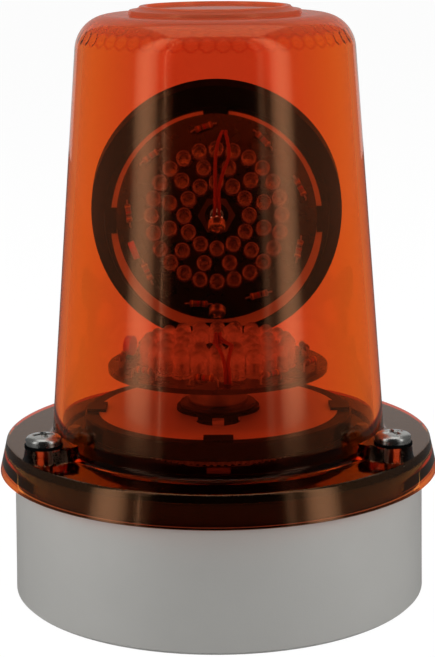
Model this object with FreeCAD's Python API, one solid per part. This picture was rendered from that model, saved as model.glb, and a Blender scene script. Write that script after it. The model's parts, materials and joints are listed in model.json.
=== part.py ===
import FreeCAD, Part
import math
import os

os.makedirs("parts", exist_ok=True)

# Rotating warning beacon: screw-down dome over a mirror that turns round a fixed
# light board.  Millimetres, +Z up, front = -Y, origin under the base's centre.

# ---- overall sizes -------------------------------------------------------------
overall_height = 186.0
flange_diameter = 140.2
base_height = 40.0          # visible height, up to the dome's skirt

# ---- clearances and fits -------------------------------------------------------
run_fit = 0.05              # radial, turning on the column
axial_gap = 0.1             # thrust faces
free_gap = 0.4              # parts that only pass each other
shaft_fit = 0.05            # motor shaft in its bearing

# ---- dome ----------------------------------------------------------------------
dome_wall = 2.7
dome_taper_deg = 4.6
dome_flange_width = 16.8    # flange edge to the foot of the wall
flange_depth = 10.1         # skirt edge to flange top
flange_thickness = 2.8
skirt_wall = 2.5
skirt_flare = 2.1
skirt_edge_round = 0.9
foot_fillet = 1.6
shoulder_radius = 11.0
inner_steps = 4             # straight steps round the shoulder's inside
crown_drop = 2.5            # flat crown below the top boss
crown_step_radius = 26.6
crown_step_height = 1.3
top_boss_radius = 23.4
top_rim_width = 1.6
top_rim_depth = 0.8
boss_radius = 6.2           # screw lugs on the flange
boss_height = 4.4
screw_circle_inset = 8.3    # flange edge to screw centre

# ---- screws --------------------------------------------------------------------
dome_screw_r = 2.0
dome_screw_hole_r = 2.3
dome_screw_head_r = 5.5
dome_screw_head_h = 3.2
seal_r = 5.9
seal_t = 0.8
insert_r = 2.75
insert_length = 7.0
screw_sides = 8             # plain shanks and small heads
small_screw_r = 1.5
small_screw_head_r = 2.8
small_screw_head_h = 1.8
gear_screw_r = 1.25
gear_screw_head_r = 2.2
gear_screw_head_h = 1.5

# ---- base ----------------------------------------------------------------------
base_wall = 3.0
base_foot_radius_inset = 4.1
base_taper = 0.6
base_lip_out = 1.4
gasket_t = 1.3
gasket_inset = 1.2          # dome's foot to the gasket's inner edge
gasket_edge_t = 0.4
gasket_edge_up = 1.0        # turned-down edge's end above the skirt's edge
gasket_fit = 0.05
insert_boss_r = 4.8
insert_boss_depth = 18.0
post_r = 3.6
chassis_post_inset = 3.4    # chassis edge to post centre
mount_circle_d = 100.0
mount_hole_r = 2.75
cable_hole_r = 9.0
grommet_bore_r = 6.0
grommet_lip = 2.0
grommet_recess = 1.2
board_post_h = 5.0
board_post_r = 3.0

# ---- chassis and drive ---------------------------------------------------------
chassis_step = 0.4          # top face above the dome's flange
chassis_flange_t = 2.5
dish_wall = 2.0
dish_depth = 12.0
dish_floor_t = 2.5
key_width = 7.0
key_depth = 2.6
key_height = 1.0
ring_teeth = 80
pinion_teeth = 16
pressure_angle = 20.0
gear_wall_gap = 0.7
gear_rim = 5.16
gear_backlash = 0.16
gear_width = 5.5
shaft_r = 1.5
gearbox_r_max = 12.5
gearbox_h = 9.0
gearbox_boss_r = 5.0
motor_cap_r = 4.0
motor_cap_h = 2.5

# ---- column and bearing --------------------------------------------------------
column_r = 9.5
column_bore_r = 5.0
column_thread_r = 8.0
column_flange_r = 13.0
column_flange_t = 2.5
column_tail = 6.5
column_nut_af = 24.0
column_nut_t = 5.0
stud_r = 4.0
stud_bore_r = 2.3
thrust_t = 0.8
bush_wall = 1.45
bush_flange_t = 1.0
hub_wall = 2.2
ring_t = 1.0
ring_groove = 0.5
ring_out = 2.5

# ---- turntable and reflector plate ---------------------------------------------
tray_show = 7.4             # chassis edge to tray edge
tray_lift = 2.0             # chassis top to tray bottom
tray_floor_t = 2.0
tray_height = 5.8
tray_rim = 4.4
tab_width = 9.0
tab_reach = 2.4
tab_t = 1.0
plate_t = 1.0
lobe_r = 7.1
lobe_y = 15.0
magnet_side = 3.7
magnet_t = 1.6
rib_t = 1.6
spigot_h = 3.5

# ---- mirror --------------------------------------------------------------------
mirror_top_drop = 21.7      # frame's top edge below the dome's top
mirror_base_rise = 12.2     # frame's bottom edge above the plate
mirror_top_share = 0.76     # of the dome's inner radius at that height
mirror_base_share = 0.857
mirror_side_gap = 5.3
frame_t = 3.0
frame_margin = 4.1
frame_lean = 1.3
mirror_t = 1.5
mirror_recess = 1.8
arm_width = 14.0
arm_t = 2.0
arm_pad = 1.5
arm_gap = 0.6
arm_over = 16.0             # arm's end above the upper screw
screw_span = 43.2

# ---- light board ---------------------------------------------------------------
board_rise = 13.2           # board's underside above the plate
board_t = 1.6
board_edge = 3.2            # plate edge to board edge
mount_disc_r = 14.0
mount_disc_t = 3.0
board_nut_af = 11.0
board_nut_h = 5.0
led_flange_r = 2.9
led_flange_t = 1.0
led_r = 2.5
led_height = 8.9
led_top_r = 1.3
led_top_h = 1.9
led_sides = 6
led_nut_gap = 1.95
led_step = 5.5
resistor_zone = 8.6
resistor_r = 1.15
resistor_len = 6.4
resistor_lead_r = 0.3
resistor_lead_out = 1.6
resistor_lift = 1.5
resistor_count = 9
disc_r = 3.2
disc_t = 2.2

# ---- wiring and control board --------------------------------------------------
wire_r = 0.6
wire_bend = 4.0
wire_half_pitch = 0.95
wire_clear = 0.5
wire_out = 2.5              # lamps' outer edge to the leads that come down in front of them
control_w = 64.0
control_d = 34.0
control_t = 1.6
control_y = 33.0

V = FreeCAD.Vector
TAPER = math.tan(math.radians(dome_taper_deg))

# ---- derived radii -------------------------------------------------------------
flange_r = flange_diameter / 2
foot_r = flange_r - dome_flange_width
screw_circle_r = flange_r - screw_circle_inset
chassis_r = foot_r - dome_wall - 1.5 * free_gap
post_circle_r = chassis_r - chassis_post_inset
dish_out_r = post_circle_r - post_r - free_gap
dish_in_r = dish_out_r - dish_wall
tray_r = chassis_r - tray_show
plate_r = tray_r - tray_rim
board_r = plate_r - board_edge
bush_out_r = column_r + run_fit + bush_wall
hub_r = bush_out_r + hub_wall
gear_module = (dish_in_r - gear_wall_gap) / ((ring_teeth + pinion_teeth) / 2 + pinion_teeth / 2 + 1)
gear_centres = gear_module * (ring_teeth + pinion_teeth) / 2
ring_pitch_r = gear_module * ring_teeth / 2
pinion_pitch_r = gear_module * pinion_teeth / 2
gear_bore_r = ring_pitch_r - 1.2 * gear_module - gear_rim
column_nut_corner = column_nut_af / math.sqrt(3)
gearbox_r = min(gearbox_r_max, gear_centres - column_nut_corner - 1)

# ---- derived heights -----------------------------------------------------------
flange_top = base_height + flange_depth
flange_under = flange_top - flange_thickness
rim_top = flange_under - gasket_t
crown_z = overall_height - crown_drop
chassis_top = flange_top + chassis_step
chassis_under = chassis_top - chassis_flange_t
dish_floor_top = chassis_top - dish_depth
dish_floor_under = dish_floor_top - dish_floor_t
thrust_z = dish_floor_top + column_flange_t
bush_z = thrust_z + thrust_t + axial_gap
tray_z = chassis_top + tray_lift
tray_top = tray_z + tray_height
plate_z = tray_top - plate_t
ring_z = tray_top + tab_t + 3 * axial_gap
board_z = tray_top + board_rise
board_top = board_z + board_t
led_top = board_top + led_height
motor_top = dish_floor_under - gearbox_h
motor_base = base_wall + 1.5 + motor_cap_h


def cyl(r, z0, z1, x=0.0, y=0.0):
    """Upright cylinder between two heights."""
    return Part.makeCylinder(r, z1 - z0, V(x, y, z0))


def tube(ro, ri, z0, z1, x=0.0, y=0.0):
    """Upright tube between two heights."""
    return cyl(ro, z0, z1, x, y).cut(cyl(ri, z0 - 1, z1 + 1, x, y))


def block(x0, x1, y0, y1, z0, z1):
    """Box between two corners."""
    return Part.makeBox(x1 - x0, y1 - y0, z1 - z0, V(x0, y0, z0))


def turned(points):
    """Solid of revolution about Z from a closed (radius, height) outline."""
    pts = [V(r, 0, z) for r, z in points]
    wire = Part.makePolygon(pts + [pts[0]])
    return Part.Face(wire).revolve(V(0, 0, 0), V(0, 0, 1), 360)


def ring_wire(sides, corner_r, z):
    """Closed regular polygon about Z."""
    pts = [V(*polar(corner_r, 360.0 * i / sides), z) for i in range(sides)]
    return Part.makePolygon(pts + [pts[0]])


def prism(sides, corner_r, z0, z1):
    """Upright regular prism on the axis."""
    return Part.Face(ring_wire(sides, corner_r, z0)).extrude(V(0, 0, z1 - z0))


def hexagon(across_flats, z0, z1):
    """Upright hexagonal prism on the axis."""
    return prism(6, across_flats / math.sqrt(3), z0, z1)


def polar(radius, degrees):
    """Point on a circle about Z."""
    a = math.radians(degrees)
    return radius * math.cos(a), radius * math.sin(a)


def pan_screw(shank_r, shank_len, head_r, head_h, recess=False):
    """Pan-head screw: head's seat at z = 0, shank downwards, few-sided as it repeats."""
    sides = screw_sides * 2 if recess else screw_sides
    crown = Part.makeLoft([ring_wire(sides, head_r, head_h * 0.6), ring_wire(sides, head_r * 0.7, head_h)],
                          True, True)
    screw = prism(sides, head_r, 0, head_h * 0.6).fuse(
        [crown, prism(screw_sides, shank_r, -shank_len, 0)]).removeSplitter()
    if recess:
        slot_w, slot_l, slot_d = head_r * 0.13, head_r * 0.55, head_h * 0.5
        for w, l in ((slot_w, slot_l), (slot_l, slot_w)):
            screw = screw.cut(block(-w, w, -l, l, head_h - slot_d, head_h + 1))
    return screw


def at(shape, x=0.0, y=0.0, z=0.0):
    """Moved copy."""
    copy = shape.copy()
    copy.translate(V(x, y, z))
    return copy


def screw_angles():
    """Dome screws: two towards the front, one at the rear."""
    return (-30.0, 90.0, 210.0)


def dome_inner_r(z):
    """Inside radius of the dome's wall at a height."""
    return foot_r - TAPER * (z - flange_top) - dome_wall


def make_dome():
    beta = math.radians(dome_taper_deg)
    cz = crown_z - shoulder_radius
    cr = foot_r - TAPER * (cz - flange_top) - shoulder_radius / math.cos(beta)
    mid = (math.pi / 2 + beta) / 2

    def arc_pt(radius, angle):
        return V(cr + radius * math.cos(angle), 0, cz + radius * math.sin(angle))

    inner_shoulder = shoulder_radius - dome_wall
    foot_in = foot_r - dome_wall
    edge = skirt_edge_round
    skirt_in = flange_r - skirt_wall
    step_top = crown_z + crown_step_height
    rim_in = top_boss_radius - top_rim_width
    rim_floor = overall_height - top_rim_depth
    flange_edge = flange_r - skirt_flare
    f = foot_fillet
    outline = []

    def line(a, b):
        outline.append(Part.LineSegment(a, b).toShape())

    def arc(a, b, c):
        outline.append(Part.Arc(a, b, c).toShape())

    p = [V(skirt_in, 0, base_height), V(flange_r, 0, base_height), V(flange_edge, 0, flange_top - edge)]
    line(p[0], p[1])
    line(p[1], p[2])
    q = V(flange_edge - edge, 0, flange_top)
    line(p[2], q)
    a = V(foot_r + f, 0, flange_top)
    b = V(foot_r - TAPER * f, 0, flange_top + f)
    line(q, a)
    line(a, b)
    line(b, arc_pt(shoulder_radius, beta))
    arc(arc_pt(shoulder_radius, beta), arc_pt(shoulder_radius, mid), V(cr, 0, crown_z))
    tail = [V(cr, 0, crown_z), V(crown_step_radius, 0, crown_z), V(crown_step_radius, 0, step_top),
            V(top_boss_radius, 0, step_top), V(top_boss_radius, 0, overall_height),
            V(rim_in, 0, overall_height), V(rim_in, 0, rim_floor), V(0, 0, rim_floor),
            V(0, 0, crown_z - dome_wall), V(cr, 0, crown_z - dome_wall)]
    for i in range(len(tail) - 1):
        line(tail[i], tail[i + 1])
    turns = [math.pi / 2 + (beta - math.pi / 2) * i / inner_steps for i in range(inner_steps + 1)]
    inner = [arc_pt(inner_shoulder, a) for a in turns]
    inner += [V(foot_in, 0, flange_top), V(foot_in, 0, flange_under),
              V(skirt_in, 0, flange_under), V(skirt_in, 0, base_height)]
    for i in range(len(inner) - 1):
        line(inner[i], inner[i + 1])
    dome = Part.Face(Part.Wire(outline)).revolve(V(0, 0, 0), V(0, 0, 1), 360)
    for angle in screw_angles():
        lug_top = flange_top + boss_height
        lug = cyl(boss_radius, flange_top - 1, lug_top, screw_circle_r)
        pad = block(foot_r - dome_wall / 2 - boss_height * TAPER, screw_circle_r,
                    -boss_radius, boss_radius, flange_top - 1, lug_top)
        lug = lug.fuse(pad).cut(cyl(foot_in - dome_wall * 0.1, 0, lug_top + 1))
        lug.rotate(V(0, 0, 0), V(0, 0, 1), angle)
        dome = dome.fuse(lug)
    for angle in screw_angles():
        x, y = polar(screw_circle_r, angle)
        dome = dome.cut(cyl(dome_screw_hole_r, flange_under - 1, flange_top + boss_height + 1, x, y))
    cavity = turned([(0, flange_under - 1), (foot_in, flange_under - 1), (foot_in, flange_top),
                     (dome_inner_r(flange_top + 2 * boss_height), flange_top + 2 * boss_height),
                     (0, flange_top + 2 * boss_height)])
    return dome.cut(cavity).removeSplitter()


def make_base():
    foot = flange_r - base_foot_radius_inset
    top = foot - base_taper
    lip = top + base_lip_out
    lip_z = base_height + 0.6
    outer = turned([(0, 0), (foot - 0.8, 0), (foot, 0.8), (top, base_height - 1), (lip, lip_z),
                    (lip, rim_top), (0, rim_top)])
    inner_r = top - base_wall
    shell = outer.cut(cyl(inner_r, base_wall, rim_top + 1))
    bosses = []
    for angle in screw_angles():
        x, y = polar(screw_circle_r, angle)
        bosses.append(cyl(insert_boss_r, rim_top - insert_boss_depth, rim_top, x, y))
        bosses.append(Part.makeCone(1.0, insert_boss_r, 5.0, V(x, y, rim_top - insert_boss_depth - 5.0)))
    for side in (-1, 1):
        bosses.append(cyl(post_r, base_wall / 2, chassis_under, side * post_circle_r))
        rib = block(post_circle_r, inner_r + base_wall / 2, -1.2, 1.2, base_wall / 2, chassis_under - 4)
        if side < 0:
            rib.rotate(V(0, 0, 0), V(0, 0, 1), 180)
        bosses.append(rib)
        for depth in (-1, 1):
            bosses.append(cyl(board_post_r, base_wall / 2, base_wall + board_post_h,
                              side * (control_w / 2 - 4), -control_y + depth * (control_d / 2 - 4)))
    bosses = [b.common(outer) for b in bosses]
    shell = shell.fuse(bosses)
    holes = []
    for angle in screw_angles():
        x, y = polar(screw_circle_r, angle)
        holes.append(cyl(insert_r, rim_top - insert_length, rim_top + 1, x, y))
        holes.append(cyl(dome_screw_hole_r, rim_top - insert_length - 4, rim_top, x, y))
        x, y = polar(mount_circle_d / 2, angle)
        holes.append(cyl(mount_hole_r, -1, base_wall + 1, x, y))
    for side in (-1, 1):
        holes.append(cyl(small_screw_r, chassis_under - 9, chassis_under + 1, side * post_circle_r))
        for depth in (-1, 1):
            holes.append(cyl(small_screw_r, base_wall, base_wall + board_post_h + 1,
                             side * (control_w / 2 - 4), -control_y + depth * (control_d / 2 - 4)))
    holes.append(cyl(cable_hole_r, -1, base_wall + 1))
    holes.append(cyl(cable_hole_r + grommet_lip + free_gap, -1, grommet_recess))
    return shell.cut(holes).removeSplitter()


def make_grommet():
    lip = cable_hole_r + grommet_lip
    return turned([(grommet_bore_r, 0.2), (lip, 0.2), (lip, grommet_recess), (cable_hole_r, grommet_recess),
                   (cable_hole_r, base_wall), (lip - 0.6, base_wall), (lip - 1.2, base_wall + 1.4),
                   (grommet_bore_r, base_wall + 1.4)])


def make_inserts():
    parts = []
    for angle in screw_angles():
        x, y = polar(screw_circle_r, angle)
        parts.append(tube(insert_r - 0.02, dome_screw_r + 0.02, rim_top - insert_length, rim_top, x, y))
    return Part.makeCompound(parts)


def make_gasket():
    """Wide flat seal under the flange, its edge turned down over the base's lip."""
    top = flange_r - base_foot_radius_inset - base_taper
    lip = top + base_lip_out + gasket_fit
    ring = turned([(foot_r + gasket_inset, rim_top), (lip, rim_top), (lip, base_height + gasket_edge_up),
                   (lip + gasket_edge_t, base_height + gasket_edge_up), (lip + gasket_edge_t, flange_under),
                   (foot_r + gasket_inset, flange_under)])
    for angle in screw_angles():
        x, y = polar(screw_circle_r, angle)
        ring = ring.fuse(cyl(insert_boss_r - 0.1, rim_top, flange_under, x, y).common(
            cyl(lip, rim_top, flange_under)))
    for angle in screw_angles():
        x, y = polar(screw_circle_r, angle)
        ring = ring.cut(cyl(dome_screw_hole_r, rim_top - 1, flange_under + 1, x, y))
    return ring.removeSplitter()


def make_seals():
    z = flange_top + boss_height
    return Part.makeCompound([tube(seal_r, dome_screw_r, z, z + seal_t, *polar(screw_circle_r, a))
                              for a in screw_angles()])


def make_dome_screws():
    seat = flange_top + boss_height + seal_t
    shank = seat - rim_top + insert_length - 1
    parts = []
    for i, angle in enumerate(screw_angles()):
        screw = pan_screw(dome_screw_r, shank, dome_screw_head_r, dome_screw_head_h, recess=True)
        screw.rotate(V(0, 0, 0), V(0, 0, 1), 25 + 40 * i)
        parts.append(at(screw, *polar(screw_circle_r, angle), seat))
    return Part.makeCompound(parts)


def make_chassis():
    body = turned([(dish_in_r, chassis_top), (dish_in_r, dish_floor_top), (0, dish_floor_top),
                   (0, dish_floor_under), (dish_out_r, dish_floor_under), (dish_out_r, chassis_under),
                   (chassis_r, chassis_under), (chassis_r, chassis_top - 0.5),
                   (chassis_r - 0.5, chassis_top)])
    holes = [cyl(column_thread_r, dish_floor_under - 1, dish_floor_top + 1),
             cyl(gearbox_boss_r, dish_floor_under - 1, dish_floor_top + 1, 0, gear_centres)]
    for side in (-1, 1):
        holes.append(cyl(small_screw_r, chassis_under - 1, chassis_top + 1, side * post_circle_r))
        holes.append(cyl(gear_screw_r, dish_floor_under - 1, dish_floor_top + 1,
                         side * (gearbox_r - 2.8), gear_centres))
    return body.cut(holes).removeSplitter()


def make_key():
    return block(-key_width / 2, key_width / 2, -(chassis_r - 2.6), -(chassis_r - 2.6) + key_depth,
                 chassis_top, chassis_top + key_height)


def make_chassis_screws():
    screw = pan_screw(small_screw_r, chassis_flange_t + 8, small_screw_head_r, small_screw_head_h)
    return Part.makeCompound([at(screw, s * post_circle_r, 0, chassis_top) for s in (-1, 1)])


def make_column():
    outline = [(stud_bore_r, board_top + board_nut_h + 0.8), (stud_r, board_top + board_nut_h + 0.8),
               (stud_r, board_z - mount_disc_t), (column_r, board_z - mount_disc_t),
               (column_r, ring_z + ring_t), (column_r - ring_groove, ring_z + ring_t),
               (column_r - ring_groove, ring_z), (column_r, ring_z), (column_r, thrust_z),
               (column_flange_r, thrust_z), (column_flange_r, dish_floor_top),
               (column_thread_r, dish_floor_top), (column_thread_r, dish_floor_under - column_tail),
               (column_bore_r, dish_floor_under - column_tail),
               (column_bore_r, board_z - mount_disc_t - 6), (stud_bore_r, board_z - mount_disc_t - 3)]
    return turned(outline)


def make_column_nut():
    return hexagon(column_nut_af, dish_floor_under - column_nut_t, dish_floor_under).cut(
        cyl(column_thread_r, 0, dish_floor_under + 1))


def make_thrust_washer():
    return tube(column_flange_r, column_r + 0.1, thrust_z, thrust_z + thrust_t)


def make_retaining_ring():
    return tube(column_r + ring_out, column_r - ring_groove, ring_z, ring_z + ring_t)


def make_bush():
    return turned([(column_r + run_fit, bush_z), (column_flange_r, bush_z),
                   (column_flange_r, bush_z + bush_flange_t), (bush_out_r, bush_z + bush_flange_t),
                   (bush_out_r, tray_top + tab_t), (column_r + run_fit, tray_top + tab_t)])


def make_turntable():
    body = turned([(bush_out_r, bush_z + bush_flange_t), (hub_r, bush_z + bush_flange_t), (hub_r, tray_z),
                   (tray_r - 0.6, tray_z), (tray_r, tray_z + 0.6), (tray_r, tray_top - 0.5),
                   (tray_r - 0.5, tray_top), (plate_r + 0.2, tray_top), (plate_r + 0.2, plate_z),
                   (plate_r - 2, plate_z), (plate_r - 2, tray_z + tray_floor_t),
                   (hub_r, tray_z + tray_floor_t), (hub_r, tray_top + tab_t),
                   (bush_out_r, tray_top + tab_t)])
    extra = [tube(gear_bore_r, max(hub_r - 0.2, gear_bore_r - 2), tray_z - spigot_h, tray_z + 1)]
    for i in range(8):
        rib = block(hub_r - 0.5, plate_r - 1.5, -rib_t / 2, rib_t / 2, tray_z + 1, plate_z)
        rib.rotate(V(0, 0, 0), V(0, 0, 1), 22.5 + 45 * i)
        extra.append(rib)
    for i in range(4):
        tab = block(plate_r - tab_reach, tray_r, -tab_width / 2, tab_width / 2, tray_top, tray_top + tab_t)
        leg = block(plate_r + 0.2, tray_r, -tab_width / 2, tab_width / 2, tray_top - 1, tray_top)
        tab = tab.fuse(leg).common(cyl(tray_r - 0.5, 0, tray_top + 9))
        tab.rotate(V(0, 0, 0), V(0, 0, 1), 90 * i)
        extra.append(tab)
    lobe = cyl(lobe_r - 0.3, tray_z + 1, tray_top - magnet_t + 0.3, 0, -lobe_y)
    extra.append(lobe.cut(cyl(hub_r - 0.5, 0, tray_top + 5)))
    pad = block(-arm_width / 2, arm_width / 2, plate_r + 0.2, tray_r + 1, tray_top - 1,
                tray_top + tab_t + arm_pad).common(cyl(tray_r - 0.5, 0, tray_top + 9))
    extra.append(pad)
    body = body.fuse(extra)
    for side in (-1, 1):
        body = body.cut(cyl(gear_screw_r, tray_z + 1.5, tray_top + 9, side * 4.2, arm_screw_y()))
    return body.removeSplitter()


def arm_screw_y():
    """Radius of the two screws in the mirror arm's foot."""
    return tray_r - 2.4


def involute_gear(teeth, addendum, dedendum, z0, z1, bore_r, turn_deg):
    """Straight-tooth involute gear about Z with a round bore."""
    module = gear_module
    pitch_r = module * teeth / 2
    base_r = pitch_r * math.cos(math.radians(pressure_angle))
    tip_r = pitch_r + addendum * module
    root_r = pitch_r - dedendum * module

    def inv(radius):
        if radius <= base_r:
            return 0.0
        a = math.acos(base_r / radius)
        return math.tan(a) - a

    half = math.pi / (2 * teeth) - gear_backlash / 4 / pitch_r
    start = max(root_r, base_r)
    flank = [start + (tip_r - start) * k / 2 for k in range(3)]
    if root_r < base_r:
        flank = [root_r] + flank
    points = []
    for i in range(teeth):
        centre = math.radians(turn_deg) + 2 * math.pi * i / teeth
        sides = [(r, half + inv(pitch_r) - inv(r)) for r in flank]
        for r, a in sides:
            points.append(V(r * math.cos(centre - a), r * math.sin(centre - a), z0))
        for r, a in reversed(sides):
            points.append(V(r * math.cos(centre + a), r * math.sin(centre + a), z0))
    body = Part.Face(Part.makePolygon(points + [points[0]])).extrude(V(0, 0, z1 - z0))
    return body.cut(cyl(bore_r, z0 - 1, z1 + 1))


def make_ring_gear():
    return involute_gear(ring_teeth, 0.72, 1.2, tray_z - gear_width, tray_z, gear_bore_r,
                         180.0 / ring_teeth)


def make_pinion():
    gear = involute_gear(pinion_teeth, 1.0, 1.2, tray_z - gear_width - 0.6, tray_z - 0.6, shaft_r, 0.0)
    hub = tube(pinion_pitch_r * 0.6, shaft_r, tray_z - gear_width - 2.6, tray_z - gear_width - 0.6)
    return at(gear.fuse(hub).removeSplitter(), 0, gear_centres)


def make_shaft():
    return cyl(shaft_r, dish_floor_under - gearbox_h + 3, tray_z - 0.5, 0, gear_centres)


def make_gearbox():
    y = gear_centres
    body = cyl(gearbox_r, motor_top, dish_floor_under, 0, y)
    body = body.fuse(cyl(gearbox_boss_r, dish_floor_under, dish_floor_top + 0.6, 0, y))
    holes = [cyl(shaft_r + shaft_fit, motor_top + 3 - axial_gap, dish_floor_top + 2, 0, y)]
    for side in (-1, 1):
        holes.append(cyl(gear_screw_r, dish_floor_under - 6, dish_floor_under + 1,
                         side * (gearbox_r - 2.8), y))
    return body.cut(holes).removeSplitter()


def make_motor():
    y = gear_centres
    can = cyl(gearbox_r - 0.6, motor_base, motor_top, 0, y)
    flat = gearbox_r - 2.6
    for side in (-1, 1):
        x0, x1 = sorted((side * flat, side * (gearbox_r + 2)))
        can = can.cut(block(x0, x1, y - 20, y + 20, motor_base + 1.5, motor_top - 2))
    return can.fuse(cyl(motor_cap_r, base_wall + 1.5, motor_base, 0, y)).removeSplitter()


def make_motor_tabs():
    parts = []
    y0 = gear_centres - gearbox_r + 0.6
    for side in (-1, 1):
        x = side * 3.0
        parts.append(block(x - 1.0, x + 1.0, y0 - 1.6, y0 + 0.6, motor_base + 2, motor_base + 6).cut(
            cyl(gearbox_r - 0.6, 0, motor_top, 0, gear_centres)))
    return Part.makeCompound(parts)


def make_gear_screws():
    screw = pan_screw(gear_screw_r, dish_floor_t + 5, gear_screw_head_r, gear_screw_head_h)
    return Part.makeCompound([at(screw, s * (gearbox_r - 2.8), gear_centres, dish_floor_top)
                              for s in (-1, 1)])


def make_plate():
    plate = cyl(plate_r, plate_z, tray_top).cut(cyl(hub_r + 0.2, plate_z - 1, tray_top + 1))
    return plate.cut(cyl(lobe_r, plate_z - 1, tray_top + 1, 0, -lobe_y)).removeSplitter()


def make_magnet():
    h = magnet_side / 2
    z0 = tray_top - magnet_t + 0.3
    return block(-h, h, -lobe_y - 1 - h, -lobe_y - 1 + h, z0, z0 + magnet_t)


# ---- mirror: worked out in its own plane, then laid into place -------------------
frame_top_z = overall_height - mirror_top_drop
frame_low_z = tray_top + mirror_base_rise
frame_top_y = -mirror_top_share * dome_inner_r(frame_top_z)
frame_low_y = mirror_base_share * dome_inner_r(frame_low_z)
mirror_angle = math.atan2(frame_top_z - frame_low_z, frame_low_y - frame_top_y)
frame_half_len = math.hypot(frame_top_z - frame_low_z, frame_low_y - frame_top_y) / 2
frame_mid_y = (frame_top_y + frame_low_y) / 2
frame_mid_z = (frame_top_z + frame_low_z) / 2
frame_half_w = dome_inner_r(frame_mid_z) - mirror_side_gap
upper_screw_t = -1.3
lower_screw_t = upper_screw_t - screw_span * frame_half_len / 60.0


def laid(shape):
    """Lay a flat piece (face up at z = 0, long side along Y) into the mirror's plane.

    Local +Y runs up the mirror, local +Z points out of its reflecting face.
    """
    copy = shape.copy()
    copy.rotate(V(0, 0, 0), V(1, 0, 0), 180 - math.degrees(mirror_angle))
    copy.translate(V(0, frame_mid_y, frame_mid_z))
    return copy


def ellipse_plate(half_w, half_l, z0, z1, shift=0.0):
    """Flat elliptical plate, long axis along Y."""
    edge = Part.Ellipse(V(0, shift + half_l, z0), V(half_w, shift, z0), V(0, shift, z0)).toShape()
    return Part.Face(Part.Wire(edge)).extrude(V(0, 0, z1 - z0))


def make_frame():
    body = ellipse_plate(frame_half_w, frame_half_len, -frame_t, 0)
    recess = ellipse_plate(frame_half_w - frame_margin + 0.1, frame_half_len - 1.75 * frame_margin + 0.1,
                           -mirror_recess, 1, -frame_lean)
    body = body.cut(recess)
    for t in (upper_screw_t, lower_screw_t):
        body = body.cut(cyl(small_screw_r, -frame_t - 1, 1, 0, t))
    return laid(body)


def make_mirror():
    body = ellipse_plate(frame_half_w - frame_margin, frame_half_len - 1.75 * frame_margin,
                         -mirror_recess, -mirror_recess + mirror_t, -frame_lean)
    for t in (upper_screw_t, lower_screw_t):
        body = body.cut(cyl(small_screw_r + 0.2, -mirror_recess - 1, 1, 0, t))
    return laid(body)


def make_mirror_screws():
    seat = -mirror_recess + mirror_t
    depth = frame_t + seat + arm_t
    screw = pan_screw(small_screw_r, depth, small_screw_head_r, small_screw_head_h, recess=True)
    return Part.makeCompound([laid(at(screw, 0, t, seat)) for t in (upper_screw_t, lower_screw_t)])


def make_arm():
    """Bent strip: foot on the turntable's rim, leg up, back along the frame."""
    cosa, sina = math.cos(mirror_angle), math.sin(mirror_angle)

    def spot(t, depth):
        return (frame_mid_y - cosa * t + sina * depth, frame_mid_z + sina * t + cosa * depth)

    foot_z = tray_top + tab_t + arm_pad
    leg_y = spot(-frame_half_len, frame_t)[0] + arm_gap
    out_y = leg_y + arm_t

    def on_back(y, depth):
        t = (frame_mid_y + sina * depth - y) / cosa
        return spot(t, depth)[1]

    end = upper_screw_t + arm_over
    outline = [(plate_r - 1.5, foot_z), (out_y, foot_z), (out_y, on_back(out_y, frame_t + arm_t)),
               spot(end, frame_t + arm_t), spot(end, frame_t), (leg_y, on_back(leg_y, frame_t)),
               (leg_y, foot_z + arm_t), (plate_r - 1.5, foot_z + arm_t)]
    pts = [V(-arm_width / 2, y, z) for y, z in outline]
    body = Part.Face(Part.makePolygon(pts + [pts[0]])).extrude(V(arm_width, 0, 0))
    for t in (upper_screw_t, lower_screw_t):
        body = body.cut(laid(cyl(small_screw_r, -frame_t - arm_t - 3, -frame_t + 1, 0, t)))
    for side in (-1, 1):
        body = body.cut(cyl(gear_screw_r, foot_z - 1, foot_z + arm_t + 1, side * 4.2, arm_screw_y()))
    return body.removeSplitter()


def make_arm_screws():
    foot_z = tray_top + tab_t + arm_pad
    screw = pan_screw(gear_screw_r, arm_t + arm_pad + 5, gear_screw_head_r, gear_screw_head_h)
    return Part.makeCompound([at(screw, s * 4.2, arm_screw_y(), foot_z + arm_t) for s in (-1, 1)])


def make_board_mount():
    return tube(mount_disc_r, stud_r, board_z - mount_disc_t, board_z)


def make_led_board():
    return cyl(board_r, board_z, board_top).cut(cyl(stud_r, board_z - 1, board_top + 1))


def make_board_nut():
    return hexagon(board_nut_af, board_top, board_top + board_nut_h).cut(
        cyl(stud_r, board_top - 1, board_top + board_nut_h + 1))


def led_rings():
    """(radius, count) of each ring of lamps that fits inside the resistors."""
    first = board_nut_af / math.sqrt(3) + led_nut_gap + led_flange_r
    pitch = 2 * led_flange_r + 0.05
    radii = [r for r in (first, first + led_step, first + 2 * led_step + 0.2)
             if r + led_flange_r + resistor_zone / 2 < board_r]
    counts = [int(2 * math.pi * r / pitch) for r in radii]
    if len(radii) == 3:
        counts[1] = counts[2] // 2
    return list(zip(radii, counts))


def make_leds():
    neck = board_top + led_height - led_top_h
    flange = prism(led_sides, led_flange_r, board_top, board_top + led_flange_t)
    body = prism(led_sides, led_r, board_top + led_flange_t, neck)
    crown = Part.makeLoft([ring_wire(led_sides, led_r, neck),
                           ring_wire(led_sides, led_top_r, neck + led_top_h)], True, True)
    one = flange.fuse([body, crown]).removeSplitter()
    parts = []
    for k, (radius, count) in enumerate(led_rings()):
        for i in range(count):
            parts.append(at(one, *polar(radius, 360.0 * (i + 0.5 * (k % 2)) / count)))
    return Part.makeCompound(parts)


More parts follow.
